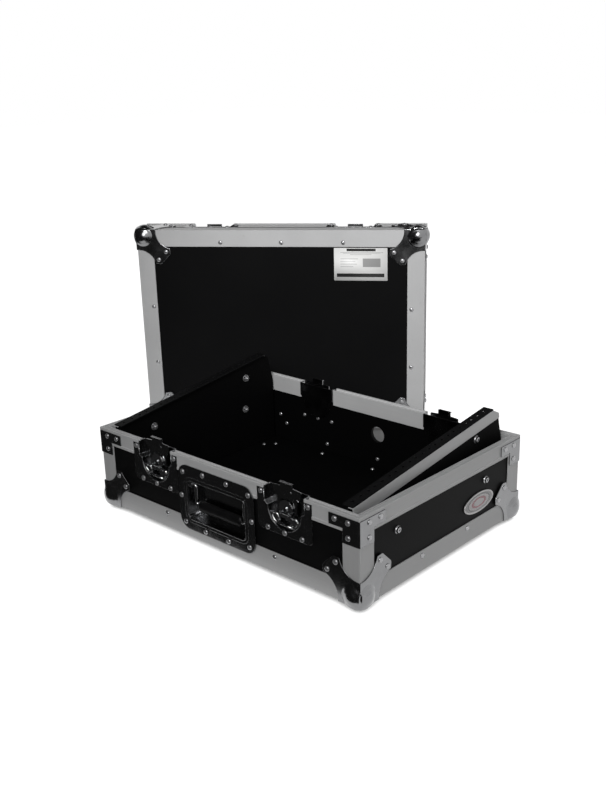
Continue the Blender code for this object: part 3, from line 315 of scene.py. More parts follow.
def combined(shape, tool, operation):
    """UNION adds the tool, DIFFERENCE cuts it away and INTERSECT keeps what both fill."""
    mesh = bpy.data.meshes.new("tool")
    tool.to_mesh(mesh)
    tool.free()
    other = bpy.data.objects.new("tool", mesh)
    scene.collection.objects.link(other)

    def dress(item):
        modify(item, "combine", "BOOLEAN", operation=operation, solver="EXACT", object=other)

    result = through_modifiers(shape, dress)
    bpy.data.objects.remove(other)
    bpy.data.meshes.remove(mesh)
    bmesh.ops.remove_doubles(result, verts=result.verts, dist=WELD_AT)
    bmesh.ops.dissolve_limit(result, angle_limit=math.radians(0.05), verts=result.verts, edges=result.edges)
    return result


def added(shape, *tools):
    for tool in tools:
        shape = combined(shape, tool, "UNION")
    return shape


def cut(shape, *tools):
    for tool in tools:
        shape = combined(shape, tool, "DIFFERENCE")
    return shape


def lathe(profile, sides):
    """A closed body turned about Z from (radius, height) points that end on the axis."""
    shape = bmesh.new()
    rings = []
    for radius, height in profile:
        points = [(0, 0)] if radius < 1e-7 else circle((0, 0), radius, sides)
        rings.append([shape.verts.new((x, y, height)) for x, y in points])
    return skinned(shape, rings)


def bent_path(points, radius, steps=6):
    """A line of points with each inner corner rounded."""
    path = [Vector(points[0])]
    for before, here, after in zip(points, points[1:], points[2:]):
        before, here, after = Vector(before), Vector(here), Vector(after)
        back = (before - here).normalized()
        on = (after - here).normalized()
        half = back.angle(on) / 2
        reach = min(radius / math.tan(half), 0.45 * (before - here).length, 0.45 * (after - here).length)
        true_radius = reach * math.tan(half)
        centre = here + (back + on).normalized() * (true_radius / math.sin(half))
        first = (here + back * reach - centre).normalized()
        last = (here + on * reach - centre).normalized()
        for i in range(steps + 1):
            path.append(centre + first.slerp(last, i / steps) * true_radius)
    path.append(Vector(points[-1]))
    return path


def tube(path, radius, sides=16, closed=False, flat_way=(0, 1, 0)):
    """A round rod along a path. Its rings are turned by one way, which the path never takes."""
    shape = bmesh.new()
    rings = []
    count = len(path)
    for i, point in enumerate(path):
        before = path[i - 1] if (i or closed) else point
        after = path[(i + 1) % count] if (i + 1 < count or closed) else point
        way = (after - before).normalized()
        side = way.cross(Vector(flat_way)).normalized()
        deep = side.cross(way).normalized()
        rings.append([shape.verts.new(point + side * across + deep * out)
                      for across, out in circle((0, 0), radius, sides)])
    return skinned(shape, rings, closed)


# Node helpers

def feed(tree, made, values):
    """Set a node's inputs, or link them where the value is another node's socket."""
    for key, value in values.items():
        socket = made.inputs[key]
        if isinstance(value, bpy.types.NodeSocket):
            tree.links.new(value, socket)
        else:
            socket.default_value = value
    return made


def node(tree, kind, settings=None, values=None):
    return feed(tree, assign(tree.nodes.new(kind), settings or {}), values or {})


def new_look(name):
    made = bpy.data.materials.new(name)
    made.use_nodes = True
    return made, made.node_tree


def finished(made, colour, rough, normal, others=None):
    """The look with its shader's inputs set."""
    tree = made.node_tree
    values = {"Base Color": colour, "Roughness": rough, "Normal": normal}
    feed(tree, tree.nodes["Principled BSDF"], {**values, **(others or {})})
    return made


def place_of(tree, scale=(1, 1, 1)):
    """Object coordinates, stretched along each axis."""
    coordinates = node(tree, "ShaderNodeTexCoord").outputs["Object"]
    return node(tree, "ShaderNodeMapping", values={"Vector": coordinates, "Scale": scale}).outputs[0]


def split(tree, vector):
    return node(tree, "ShaderNodeSeparateXYZ", values={0: vector}).outputs


def noise(tree, vector, scale, detail=4.0, roughness=0.5):
    return node(tree, "ShaderNodeTexNoise", values={"Vector": vector, "Scale": scale, "Detail": detail,
                                                    "Roughness": roughness}).outputs["Fac"]


def ranged(tree, value, low, high, out_low, out_high):
    return node(tree, "ShaderNodeMapRange", values={"Value": value, "From Min": low, "From Max": high,
                                                    "To Min": out_low, "To Max": out_high}).outputs["Result"]


def maths(tree, operation, first, second=0.5):
    return node(tree, "ShaderNodeMath", {"operation": operation}, {0: first, 1: second}).outputs[0]


def times(tree, first, second):
    return maths(tree, "MULTIPLY", first, second)


def plus(tree, first, second):
    return maths(tree, "ADD", first, second)


def inside(tree, value, low, high):
    """1 where the value lies between the two limits."""
    return times(tree, maths(tree, "GREATER_THAN", value, low), maths(tree, "LESS_THAN", value, high))


def blend(tree, factor, first, second):
    """Mix two colours, each a tuple or a socket."""
    first, second = [value if isinstance(value, bpy.types.NodeSocket) else (*value, 1.0)
                     for value in (first, second)]
    return node(tree, "ShaderNodeMix", {"data_type": "RGBA"}, {0: factor, 6: first, 7: second}).outputs[2]


def bump(tree, height, distance, strength=1.0, normal=None):
    values = {"Height": height, "Distance": distance, "Strength": strength}
    if normal is not None:
        values["Normal"] = normal
    return node(tree, "ShaderNodeBump", values=values).outputs[0]


def edges(tree, radius):
    """A mask that is near 1 along the edges, and the normal that rounds them."""
    soft = node(tree, "ShaderNodeBevel", {"samples": 4}, {"Radius": radius}).outputs[0]
    true = node(tree, "ShaderNodeNewGeometry").outputs["Normal"]
    alike = node(tree, "ShaderNodeVectorMath", {"operation": "DOT_PRODUCT"}, {0: soft, 1: true})
    return ranged(tree, alike.outputs["Value"], 0.999, 0.93, 0.0, 1.0), soft


# Looks

LABEL_SIZE = mm(95.8, 59)
BADGE_HALF_SIZE = mm(37, 15.2)


def laminate_look():
    """Black laminate with a fine grain, duller on the case's inside and painted darker there as shade."""
    made, tree = new_look("laminate")
    place = place_of(tree)
    cloud = noise(tree, place, 9, 3)
    grain = noise(tree, place, 1500, 3, 0.6)
    pores = noise(tree, place, 420, 2)
    scuffs = noise(tree, place_of(tree, (16, 3, 3)), 26, 6, 0.7)
    scuffed = ranged(tree, scuffs, 0.62, 0.72, 0.0, 0.35)
    mask, soft = edges(tree, 0.5 * MM)
    black = blend(tree, cloud, (0.0042, 0.0042, 0.0044), (0.0068, 0.0068, 0.0071))
    worn = blend(tree, mask, black, (0.016, 0.016, 0.017))
    outer = blend(tree, scuffed, worn, (0.0085, 0.0085, 0.009))
    # Painted shade: inside the base the laminate's colour is darkened towards black as if in shadow; the same
    # mask also makes it rougher there.
    parts = split(tree, place)
    board_middle = INSET + BOARD / 2
    half_width, half_depth = CASE_WIDTH / 2 - board_middle, CASE_DEPTH / 2 - board_middle
    centre = BASE_PLACE.to_translation().y
    within = times(tree, inside(tree, parts[0], -half_width, half_width),
                   inside(tree, parts[1], centre - half_depth, centre + half_depth))
    lined = times(tree, within, maths(tree, "GREATER_THAN", parts[2], board_middle - BASE_HEIGHT))
    colour = blend(tree, lined, outer, (0.0014, 0.0014, 0.0015))
    rough = plus(tree, ranged(tree, grain, 0.3, 0.7, 0.36, 0.50), times(tree, scuffed, 0.15))
    coarse = bump(tree, pores, 0.05 * MM, 0.5, soft)
    return finished(made, colour, plus(tree, rough, times(tree, lined, 0.25)),
                    bump(tree, grain, 0.03 * MM, 0.6, coarse), {"Specular IOR Level": 0.045})


def aluminium_look(name, run):
    """Satin extruded aluminium with fine lines along its run."""
    made, tree = new_look(name)
    place = place_of(tree)
    cloud = noise(tree, place, 14, 4, 0.55)
    lines = noise(tree, place_of(tree, run), 700, 3, 0.6)
    grain = noise(tree, place, 1300, 2)
    spots = ranged(tree, noise(tree, place, 75, 5, 0.7), 0.66, 0.74, 0.0, 0.30)
    mask, soft = edges(tree, 0.6 * MM)
    base = blend(tree, cloud, (0.50, 0.502, 0.505), (0.58, 0.582, 0.585))
    lined = blend(tree, ranged(tree, lines, 0.35, 0.65, 0.0, 0.25), base, (0.64, 0.64, 0.64))
    # Lighter along the edges: partly wear, partly a painted highlight for the light that rounded edges catch.
    bright = blend(tree, times(tree, mask, 0.6), lined, (0.76, 0.76, 0.76))
    rough = plus(tree, ranged(tree, cloud, 0.3, 0.7, 0.44, 0.52), ranged(tree, lines, 0.3, 0.7, 0, 0.06))
    ridged = bump(tree, lines, 0.02 * MM, 0.4, soft)
    return finished(made, blend(tree, spots, bright, (0.36, 0.36, 0.37)), rough,
                    bump(tree, grain, 0.015 * MM, 0.4, ridged), {"Metallic": 0.2})


def chrome_look(name, bright, rough_low, rough_high, wave, metallic=1.0):
    """Plated metal with smudges, dust and a slight swell."""
    made, tree = new_look(name)
    place = place_of(tree)
    smudge = noise(tree, place, 45, 5, 0.6)
    fine = noise(tree, place, 1100, 2)
    swell = noise(tree, place, 95, 2)
    dust = ranged(tree, noise(tree, place, 600, 5, 0.7), 0.60, 0.72, 0.0, 0.45)
    dark = tuple(0.86 * level for level in bright)
    clean = blend(tree, ranged(tree, smudge, 0.3, 0.7, 0.0, 1.0), dark, bright)
    rough = plus(tree, ranged(tree, smudge, 0.35, 0.7, rough_low, rough_high), times(tree, dust, 0.12))
    return finished(made, clean, rough, bump(tree, fine, 0.004 * MM, 0.5, bump(tree, swell, wave)),
                    {"Metallic": metallic})


def paint_look():
    made, tree = new_look("black_paint")
    place = place_of(tree)
    peel = noise(tree, place, 800, 2)
    cloud = noise(tree, place, 25, 4)
    mask, soft = edges(tree, 0.4 * MM)
    black = blend(tree, cloud, (0.0042, 0.0042, 0.0045), (0.0066, 0.0066, 0.007))
    worn = times(tree, mask, noise(tree, place, 60, 4))
    rough = ranged(tree, cloud, 0.3, 0.7, 0.42, 0.55)
    return finished(made, blend(tree, worn, black, (0.05, 0.05, 0.052)), rough,
                    bump(tree, peel, 0.03 * MM, 0.6, soft), {"Specular IOR Level": 0.02})


def rubber_look():
    made, tree = new_look("moulded_rubber")
    place = place_of(tree)
    grain = node(tree, "ShaderNodeTexVoronoi", values={"Vector": place, "Scale": 900.0}).outputs["Distance"]
    cloud = noise(tree, place, 40, 4)
    colour = blend(tree, cloud, (0.0045, 0.0045, 0.0048), (0.0085, 0.0085, 0.009))
    return finished(made, colour, ranged(tree, cloud, 0.3, 0.7, 0.30, 0.42), bump(tree, grain, 0.05 * MM, 0.5),
                    {"Specular IOR Level": 0.2})


# The label's print, each as parts of its width and height with its tone: a heading bar, a foot bar, three
# rules, a panel and four short rules
PRINT = (((0.05, 0.94), (0.11, 0.22), 0.01), ((0.24, 0.78), (0.90, 0.98), 0.02),
         ((0.12, 0.92), (0.855, 0.868), 0.42), ((0.17, 0.87), (0.825, 0.836), 0.50),
         ((0.30, 0.70), (0.790, 0.802), 0.42), ((0.54, 0.87), (0.42, 0.68), 0.36),
         ((0.12, 0.45), (0.66, 0.675), 0.35), ((0.12, 0.40), (0.58, 0.595), 0.42),
         ((0.12, 0.43), (0.50, 0.515), 0.42), ((0.12, 0.36), (0.42, 0.435), 0.42))


def label_look():
    """White paper with plain printed rules, bars and panels."""
    made, tree = new_look("paper_label")
    place = place_of(tree)
    parts = split(tree, place)
    across = ranged(tree, parts[0], -LABEL_SIZE[0] / 2, LABEL_SIZE[0] / 2, 0.0, 1.0)
    up = ranged(tree, parts[1], LABEL_SIZE[1] / 2, -LABEL_SIZE[1] / 2, 0.0, 1.0)
    fibres = noise(tree, place, 900, 4, 0.6)
    colour = blend(tree, fibres, (0.86, 0.86, 0.85), (0.92, 0.92, 0.91))
    for (left, right), (foot, top), tone in PRINT:
        area = times(tree, inside(tree, across, left, right), inside(tree, up, foot, top))
        colour = blend(tree, area, colour, (tone, tone, tone))
    return finished(made, colour, 0.42, bump(tree, fibres, 0.02 * MM, 0.4))


def badge_face_look():
    """Pale enamel with one dark ring and one red ring near its edge."""
    made, tree = new_look("badge_enamel")
    place = place_of(tree)
    parts = split(tree, place)
    across = maths(tree, "DIVIDE", parts[0], BADGE_HALF_SIZE[0])
    up = maths(tree, "DIVIDE", parts[2], BADGE_HALF_SIZE[1])
    reach = maths(tree, "SQRT", plus(tree, times(tree, across, across), times(tree, up, up)))
    cloud = noise(tree, place, 120, 4)
    pale = blend(tree, cloud, (0.58, 0.54, 0.55), (0.70, 0.66, 0.67))
    ringed = blend(tree, inside(tree, reach, 0.34, 0.50), pale, (0.30, 0.012, 0.04))
    banded = blend(tree, maths(tree, "GREATER_THAN", reach, 0.68), ringed, (0.27, 0.265, 0.27))
    lined = blend(tree, inside(tree, reach, 0.68, 0.76), banded, (0.03, 0.029, 0.03))
    return finished(made, lined, 0.25, bump(tree, cloud, 0.02 * MM, 0.5),
                    {"Coat Weight": 0.6, "Coat Roughness": 0.08})


LAMINATE = laminate_look()
ALUMINIUM = aluminium_look("aluminium", (1, 1, 1))
ALUMINIUM_X = aluminium_look("aluminium_along_x", (0.02, 1, 1))
ALUMINIUM_Y = aluminium_look("aluminium_along_y", (1, 0.02, 1))
ALUMINIUM_Z = aluminium_look("aluminium_along_z", (1, 1, 0.02))
CHROME = chrome_look("chrome", (0.56, 0.565, 0.575), 0.07, 0.15, 0.02 * MM)
PLATE_CHROME = chrome_look("plate_chrome", (0.25, 0.252, 0.257), 0.16, 0.26, 0.02 * MM)
RIVET_METAL = chrome_look("rivet_zinc", (0.42, 0.42, 0.43), 0.24, 0.34, 0.02 * MM, 0.75)
BADGE_METAL = chrome_look("badge_metal", (0.36, 0.355, 0.355), 0.28, 0.38, 0.01 * MM)
PAINT = paint_look()
RUBBER = rubber_look()
LABEL = label_look()
ENAMEL = badge_face_look()


# Pieces

def mesh_of(shape, name):
    mesh = bpy.data.meshes.new(name)
    shape.to_mesh(mesh)
    shape.free()
    mesh.shade_smooth()
    return mesh


def rounded(item, width, segments=2, clamped=True):
    """Round an object's edges and keep its flat faces flat."""
    modify(item, "rounded edges", "BEVEL", width=width, segments=segments, limit_method="ANGLE",
           angle_limit=math.radians(40), use_clamp_overlap=clamped)
    modify(item, "flat faces", "WEIGHTED_NORMAL", keep_sharp=False)


def piece(name, mesh, look, body, place=IDENTITY, edge=0.0, segments=2, stands_for=None):
    """A new piece on a body, in place of the CAD node that it stands for."""
    item = bpy.data.objects.new(name, mesh)
    if not mesh.materials:
        mesh.materials.append(look)
    item.matrix_world = place
    scene.collection.objects.link(item)
    if edge:
        rounded(item, edge, segments)
    bpy.context.view_layer.update()
    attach(item, body)
    if stands_for:
        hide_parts(stands_for)
    return item


def smooth_group():
    """Geometry nodes that only turn on smooth shading."""
    group = bpy.data.node_groups.new("smooth shading", "GeometryNodeTree")
    for way in ("INPUT", "OUTPUT"):
        group.interface.new_socket(name="Geometry", in_out=way, socket_type="NodeSocketGeometry")
    start = group.nodes.new("NodeGroupInput")
    smooth = node(group, "GeometryNodeSetShadeSmooth", values={"Geometry": start.outputs[0]})
    node(group, "NodeGroupOutput", values={0: smooth.outputs[0]})
    return group


SMOOTH = smooth_group()


def dress_node(name, look, edge, clamped):
    """A CAD node kept as it is, with rounded edges and its own look."""
    item = nodes[name]
    modify(item, "weld", "WELD", merge_threshold=WELD_AT)
    modify(item, "join flat faces", "DECIMATE", decimate_type="DISSOLVE", angle_limit=math.radians(0.5))
    modify(item, "smooth", "NODES", node_group=SMOOTH)
    rounded(item, edge, clamped=clamped)
    item.data.materials.clear()
    item.data.materials.append(look)


def dress_nodes():
    boards = [f"base_{name}_board" for name in ("floor", "front", "right", "rear", "left")]
    for look, edge, clamped, names in (
            (LAMINATE, 0.3, True, (*boards, "lid_top_board", "lid_side_boards")),
            (LAMINATE, 0.3, False, ("rack_cheek_left", "rack_cheek_right")),
            (ALUMINIUM_X, 0.45, True, ("base_front_bottom_edge", "base_rear_bottom_edge")),
            (ALUMINIUM_X, 0.3, False, ("base_front_rim_middle", "base_rear_rim_middle")),
            (ALUMINIUM_Y, 0.45, True, ("base_left_bottom_edge", "base_right_bottom_edge")),
            (ALUMINIUM_Y, 0.45, True, ("cheek_cap_left", "cheek_cap_right")),
            (ALUMINIUM_Y, 0.3, False, ("base_left_rim", "base_right_rim")),
            (ALUMINIUM, 0.45, True, ("lid_edge_frame",)),
            (ALUMINIUM, 0.3, False, ("lid_rim",))):
        for name in names:
            dress_node(name, look, edge * MM, clamped)


# Rivets, their clinched ends inside, and bolts

RIVET_PROFILE = scaled([(4.0, -0.15), (4.0, 0.35), (3.8, 0.8), (3.45, 1.25), (2.9, 1.65), (2.1, 1.95),
                        (1.1, 2.15), (0, 2.2)])
CLINCH_PROFILE = scaled([(3.4, -0.1), (3.4, 0.35), (2.9, 0.6), (2.7, 1.3), (2.2, 1.75), (1.5, 1.8), (1.1, 1.45),
                         (0, 1.3)])
BOLT_PROFILE = scaled([(5.9, -0.1), (5.9, 0.5), (5.6, 0.9), (5.2, 1.7), (4.8, 2.5), (4.0, 3.1), (2.9, 3.5),
                       (1.4, 3.7), (0, 3.75)])
BRACE_RIVETS = scaled([(17.6, 11), (40, 11), (17.6, 32)])
EAR_RIVETS = scaled([(54.0, 39.3), (39.3, 54.0)])
LATCH_RIVETS = scaled([(-43, 16.4), (43, 16.4), (-31.5, -33.9), (0, -33.9), (31.5, -33.9)])
CATCH_RIVETS = scaled([(-43, -10.1), (43, -10.1), (-31.5, -34), (0, -34), (31.5, -34)])
HANDLE_RIVETS = scaled([(67.5, 39), (24.5, 43.4), (72.5, 1), (66.5, -40), (24, -44.6)])
SIDE_BOLTS = scaled([(79, 45), (286, 44)])
UPPER_BOLTS = scaled([(83, 29.3), (290, 27.6)])
OUT, IN, UP, DOWN = (0, -1, 0), (0, 1, 0), (0, 0, 1), (0, 0, -1)


def edge_rivets(quarter):
    if quarter % 2:
        return [-SHORT_RIVET_PITCH / 2, SHORT_RIVET_PITCH / 2]
    return [-LONG_RIVET_PITCH, 0, LONG_RIVET_PITCH]


def wall_rivets(quarter):
    """The base's edge rivets on one side. The front has none in the middle, below the handle."""
    return [x for x in edge_rivets(quarter) if quarter or x]


def lid_edge_rivets(quarter):
    shift = LID_SHORT_RIVET_SHIFT if quarter % 2 else LID_LONG_RIVET_SHIFT
    return [x + (shift if quarter < 2 else -shift) for x in edge_rivets(quarter)]


def ear_rivets(place):
    """A ball corner's six rivets, on its three outer faces."""
    spots = []
    for axis in range(3):
        for first, second in EAR_RIVETS:
            point = [0.0, 0.0, 0.0]
            point[(axis + 1) % 3], point[(axis + 2) % 3], point[axis] = first, second, -PROUD
            outward = [0, 0, 0]
            outward[axis] = -1
            spots.append(place @ facing(point, outward))
    return spots


def scatter(suffix, profile, sides, base, lid):
    """One body of the profile at each place on the base, and at each place on the lid."""
    for body, places in (("base", base), ("lid", lid)):
        name = f"{body}_{suffix}"
        piece(name, mesh_of(repeated(lathe(profile, sides), places), name), RIVET_METAL, body)


def add_rivets():
    base, lid = [], []
    for quarter in range(4):
        side = BASE_PLACE @ side_matrix(quarter)
        base += [side @ facing((x, 0, EDGE_RIVET_LINE), OUT) for x in wall_rivets(quarter)]
        side = LID_PLACE @ side_matrix(quarter)
        lid += [side @ facing((x, EDGE_RIVET_LINE, 0), DOWN) for x in lid_edge_rivets(quarter)]
        corner = BASE_PLACE @ corner_matrix(quarter, BASE_HEIGHT)
        for along, drop in BRACE_RIVETS:
            base.append(corner @ facing((along, -PROUD, -drop), OUT))
            base.append(corner @ facing((-PROUD, along, -drop), (-1, 0, 0)))
        base += ear_rivets(BASE_PLACE @ corner_matrix(quarter))
        lid += ear_rivets(LID_PLACE @ corner_matrix(quarter))
    for name, place in LATCH_PLACES:
        base += [place @ facing((x, GAP, z), OUT) for x, z in LATCH_RIVETS]
    for name, place in CATCH_PLACES:
        lid += [place @ facing((x, GAP, z), OUT) for x, z in CATCH_RIVETS]
    base += [HANDLE_PLACE @ facing((side * x, -BEAD_STEP - PROUD, z), OUT)
             for x, z in HANDLE_RIVETS for side in (-1, 1)]
    scatter("rivets", RIVET_PROFILE, 18, base, lid)


def add_clinches():
    """The rivets' ends on the boards' inner faces."""
    base, lid = [], []
    inner = INSET + BOARD
    for quarter in range(4):
        side = side_matrix(quarter)
        spots = [facing((x, inner, EDGE_RIVET_LINE), IN) for x in wall_rivets(quarter)]
        spots += [facing((x, EDGE_RIVET_LINE, inner), UP) for x in edge_rivets(quarter)]
        base += [BASE_PLACE @ side @ spot for spot in spots]
        lid += [LID_PLACE @ side @ facing((x, EDGE_RIVET_LINE, inner), UP) for x in lid_edge_rivets(quarter)]
        for first, second in EAR_RIVETS:
            corner = corner_matrix(quarter)
            base.append(BASE_PLACE @ corner @ facing((first, second, inner), UP))
            base.append(BASE_PLACE @ corner @ facing((first, inner, second), IN))
            base.append(BASE_PLACE @ corner @ facing((inner, first, second), (1, 0, 0)))
            lid.append(LID_PLACE @ corner @ facing((first, second, inner), UP))
    for name, place in LATCH_PLACES:
        base += [place @ facing((x, inner, z), IN) for x, z in LATCH_RIVETS if z < 0]
    base += [HANDLE_PLACE @ facing((side * x, inner, z), IN)
             for x, z in HANDLE_RIVETS for side in (-1, 1) if z < 20 * MM]
    scatter("rivet_ends", CLINCH_PROFILE, 14, base, lid)


def top_line(depth):
    return BASE_HEIGHT + CHEEK_RISE + depth * math.tan(CHEEK_SLOPE)


def bolt_head():
    """A low round head on a washer, with a cross in it. Its foot is at Z 0."""
    head = lathe(BOLT_PROFILE, 32)
    for angle in (0, math.pi / 2):
        groove = box(mm(-2.6, -0.55, 2.4), mm(2.6, 0.55, 6))
        head = cut(head, moved(groove, Matrix.Rotation(angle, 4, "Z")))
    return head


def nut():
    """A nut on a washer with the bolt's rounded end standing out of it. Its foot is at Z 0."""
    washer = cylinder((0, 0), 6.2 * MM, -0.1 * MM, 1.0 * MM, "Z", 32)
    body = prism(circle((0, 0), 5.2 * MM, 6), 0.9 * MM, 3.9 * MM, "Z")
    chamfer = lathe(scaled([(6.6, 0.4), (6.6, 3.0), (4.4, 4.3), (0, 4.3)]), 32)
    end = lathe(scaled([(2.4, 0), (2.4, 5.6), (2.0, 6.0), (0, 6.0)]), 20)
    return joined([washer, combined(body, chamfer, "INTERSECT"), end])


def add_bolts():
    outer = CHEEK_INSET + INSET
    inner = outer + CHEEK_BOARD
    heads, nuts = [], []
    for side in (1, -1):
        corner = BASE_PLACE @ Matrix.Translation((-side * CASE_WIDTH / 2, -CASE_DEPTH / 2, 0))
        spots = [(depth, BASE_HEIGHT - drop, INSET - GAP) for depth, drop in SIDE_BOLTS]
        spots += [(depth, top_line(depth) - drop, outer) for depth, drop in UPPER_BOLTS]
        for depth, height, head_at in spots:
            heads.append(corner @ facing((side * head_at, depth, height), (-side, 0, 0)))
            nuts.append(corner @ facing((side * inner, depth, height), (side, 0, 0)))
    for name, maker, places in (("cheek_bolt_heads", bolt_head, heads), ("cheek_nuts", nut, nuts)):
        turned = [place @ Matrix.Rotation(0.7 * number + 0.3, 4, "Z") for number, place in enumerate(places)]
        piece(name, mesh_of(repeated(maker(), turned), name), RIVET_METAL, "base", edge=0.25 * MM)


# Corners: upright angles, braces and balls

def angle_section(leg, outer, inner, corner_radius, bulge=0.0):
    """An L section between two depths, its outer corner round and if need be a little proud."""
    reach = outer - bulge
    start = [(leg, inner), (inner, inner), (inner, leg), (outer, leg)]
    turn = arc((reach + corner_radius, reach + corner_radius), corner_radius, 180, 270, 6)
    if bulge:
        step = reach + corner_radius + 1.2 * MM
        on = step + 0.8 * MM
        turn = [(outer, on), (reach, step)] + turn + [(step, reach), (on, outer)]
    return start + turn + [(leg, outer)]


def add_corners():
    foot = EDGE_LEG + GAP
    top = BASE_HEIGHT - RIM_OUTER_LEG - GAP
    section = angle_section(CORNER_LEG, 0.0, SKIN, 2.2 * MM, 0.4 * MM)
    upright = mesh_of(prism(section, foot, top, "Z"), "upright_angle")
    reach, post = mm(50, 27)
    past = reach + CUT_PAST
    drop, band = BASE_HEIGHT - 41 * MM, BASE_HEIGHT - 20.5 * MM
    plate = prism(angle_section(reach, -PROUD, -GAP, 2.6 * MM), drop, BASE_HEIGHT - RIM_LIP - GAP, "Z")
    for low, high in (((post, -CUT_PAST), (past, 0.0)), ((-CUT_PAST, post), (0.0, past))):
        plate = cut(plate, box((*low, drop - CUT_PAST), (*high, band)))
    brace = mesh_of(plate, "rim_brace")
    for quarter, name in enumerate(CORNER_NAMES):
        place = BASE_PLACE @ corner_matrix(quarter)
        piece(f"base_upright_{name}", upright, ALUMINIUM_Z, "base", place, 0.35 * MM,
              stands_for=f"base_corner_angle_{name}")
        piece(f"base_brace_{name}", brace, PLATE_CHROME, "base", place, 0.4 * MM, 3)


def ear_outline():
    """One ear in its face's plane, from the case's corner out along the diagonal and back."""
    root = math.sqrt(0.5)
    waist_at, waist, radius = mm(50, 15, 33)
    aside = waist + radius
    centre = ((waist_at + aside) * root, (waist_at - aside) * root)
    shoulder_at, half_shoulder = mm(67, 19.5)
    shoulder = ((shoulder_at + half_shoulder) * root, (shoulder_at - half_shoulder) * root)
    last = math.degrees(math.atan2(shoulder[1] - centre[1], shoulder[0] - centre[0]))
    first = 180 + math.degrees(math.asin((centre[1] + PROUD) / radius))
    side = arc(centre, radius, first, last, 16)
    end, half_end = mm(75, 13)
    tip = Vector(((end + half_end) * root, (end - half_end) * root))
    on = Vector((root, -root))
    corner = bent_path([(*side[-1], 0), (*tip, 0), (*(tip - on * half_end), 0)], 4 * MM, 5)
    half = side[:-1] + [(point.x, point.y) for point in corner[:-1]]
    return [(-PROUD, -PROUD)] + half + [(b, a) for a, b in reversed(half)]


def ball_corner():
    """A ball over the case's corner, filleted into an ear on each of the three faces."""
    ball = bmesh.new()
    bmesh.ops.create_uvsphere(ball, u_segments=72, v_segments=36, radius=BALL_RADIUS)
    ball = moved(ball, Matrix.Translation((BALL_INSET, BALL_INSET, BALL_INSET)))
    fillet = scaled([(18.2, 0), (16.2, -1.2), (13.8, -2.6), (10.5, -4.0), (0, -4.0)])
    next_face = Matrix(((0, 0, 1, 0), (1, 0, 0, 0), (0, 1, 0, 0), (0, 0, 0, 1)))
    for turn in (IDENTITY, next_face, next_face @ next_face):
        shape = moved(lathe(fillet, 64), Matrix.Translation((BALL_INSET, BALL_INSET, -PROUD + 0.1 * MM)))
        shape = combined(shape, box((-PROUD, -PROUD, -30 * MM), (60 * MM, 60 * MM, 0)), "INTERSECT")
        ball = added(ball, moved(shape, turn))
    for axis in "XYZ":
        ball = added(ball, prism(ear_outline(), -PROUD, -GAP, axis))
    reach = 70 * MM
    ball = cut(ball, box((-GAP, -GAP, -GAP), (reach, reach, reach)))

    def dress(item):
        modify(item, "one skin", "REMESH", mode="VOXEL", voxel_size=0.5 * MM)
        modify(item, "soft", "SMOOTH", factor=0.5, iterations=6)
        modify(item, "join flat faces", "DECIMATE", decimate_type="DISSOLVE", angle_limit=math.radians(0.6))

    return through_modifiers(ball, dress)


def add_balls():
    mesh = mesh_of(ball_corner(), "ball_corner")
    for prefix, place in (("base", BASE_PLACE), ("lid", LID_PLACE)):
        for quarter, name in enumerate(CORNER_NAMES):
            item = piece(f"{prefix}_ball_{name}", mesh, PLATE_CHROME, prefix, place @ corner_matrix(quarter),
                         stands_for=f"{prefix}_ball_corner_{name}")
            modify(item, "flat faces", "WEIGHTED_NORMAL")


# Twist latches, each in a frame on its pivot: X along the side, Y inward from the outer plane, Z to the rim

DISH_HALF = 50 * MM
DISH_CORNER = 8 * MM
DISH_SHEET = 1.2 * MM
POCKET_RADIUS = 29.8 * MM
POCKET_HALF_MOUTH = 36 * MM
POCKET_DEPTH = 11.5 * MM
POCKET_WALL = 1 * MM
HINGE_DEPTH = 1.8 * MM
HINGE_DROP = 6 * MM
DISC_FRONT = 3.6 * MM
WING_RADIUS = 28.8 * MM
WING_FOOT = 25 * MM
WING_TOP = 9.2 * MM


def pocket_outline(grow, top):
    """The latch dish's pocket: a round lower half about the pivot and a wider mouth above."""
    mouth = POCKET_HALF_MOUTH + grow
    low = arc((0, 0), POCKET_RADIUS + grow, 180, 360, 36)
    shoulder = 4 * MM
    return [(mouth, top), (-mouth, top), (-mouth, shoulder)] + low + [(mouth, shoulder)]


def dish_flange(top, foot):
    half, level = DISH_HALF, DISH_CORNER - foot
    return ([(half, top), (-half, top)] + arc((DISH_CORNER - half, level), DISH_CORNER, 180, 270, 8)
            + arc((half - DISH_CORNER, level), DISH_CORNER, 270, 360, 8))


def latch_dish():
    top = LATCH_DROP - RIM_LIP - GAP
    mouth = LATCH_DROP - GAP
    back = POCKET_DEPTH + POCKET_WALL
    flange = prism(dish_flange(top, 38.5 * MM), GAP, GAP + DISH_SHEET, "Y")
    pocket = prism(pocket_outline(POCKET_WALL, mouth), GAP + DISH_SHEET / 2, back, "Y")
    cavity = prism(pocket_outline(0, mouth + CUT_PAST), -CUT_PAST, POCKET_DEPTH, "Y")
    dish = cut(added(flange, pocket), cavity)
    stud = cylinder((0, 0), 2.6 * MM, 3.3 * MM, POCKET_DEPTH + 0.5 * MM, "Y", 32)
    return added(dish, stud)


def latch_dish_beads():
    """Rolled edges: round the pocket on the flange, and along the mouth's back and sides."""
    outline = pocket_outline(1.0 * MM, LATCH_DROP - RIM_LIP - 1.4 * MM)
    path = bent_path([(x, 0, z) for x, z in outline[1:] + outline[:1]], 2 * MM, 3)
    front = tube([point + Vector((0, 0.35 * MM, 0)) for point in path], 0.7 * MM, 12)
    mouth = LATCH_DROP - 0.9 * MM
    half = POCKET_HALF_MOUTH + POCKET_WALL / 2
    near, back = 1.2 * MM, POCKET_DEPTH + POCKET_WALL / 2
    roll = bent_path([(-half, near, mouth), (-half, back, mouth), (half, back, mouth), (half, near, mouth)],
                     3 * MM, 6)
    return joined([front, tube(roll, 0.85 * MM, 12, flat_way=(0, 0, 1))])


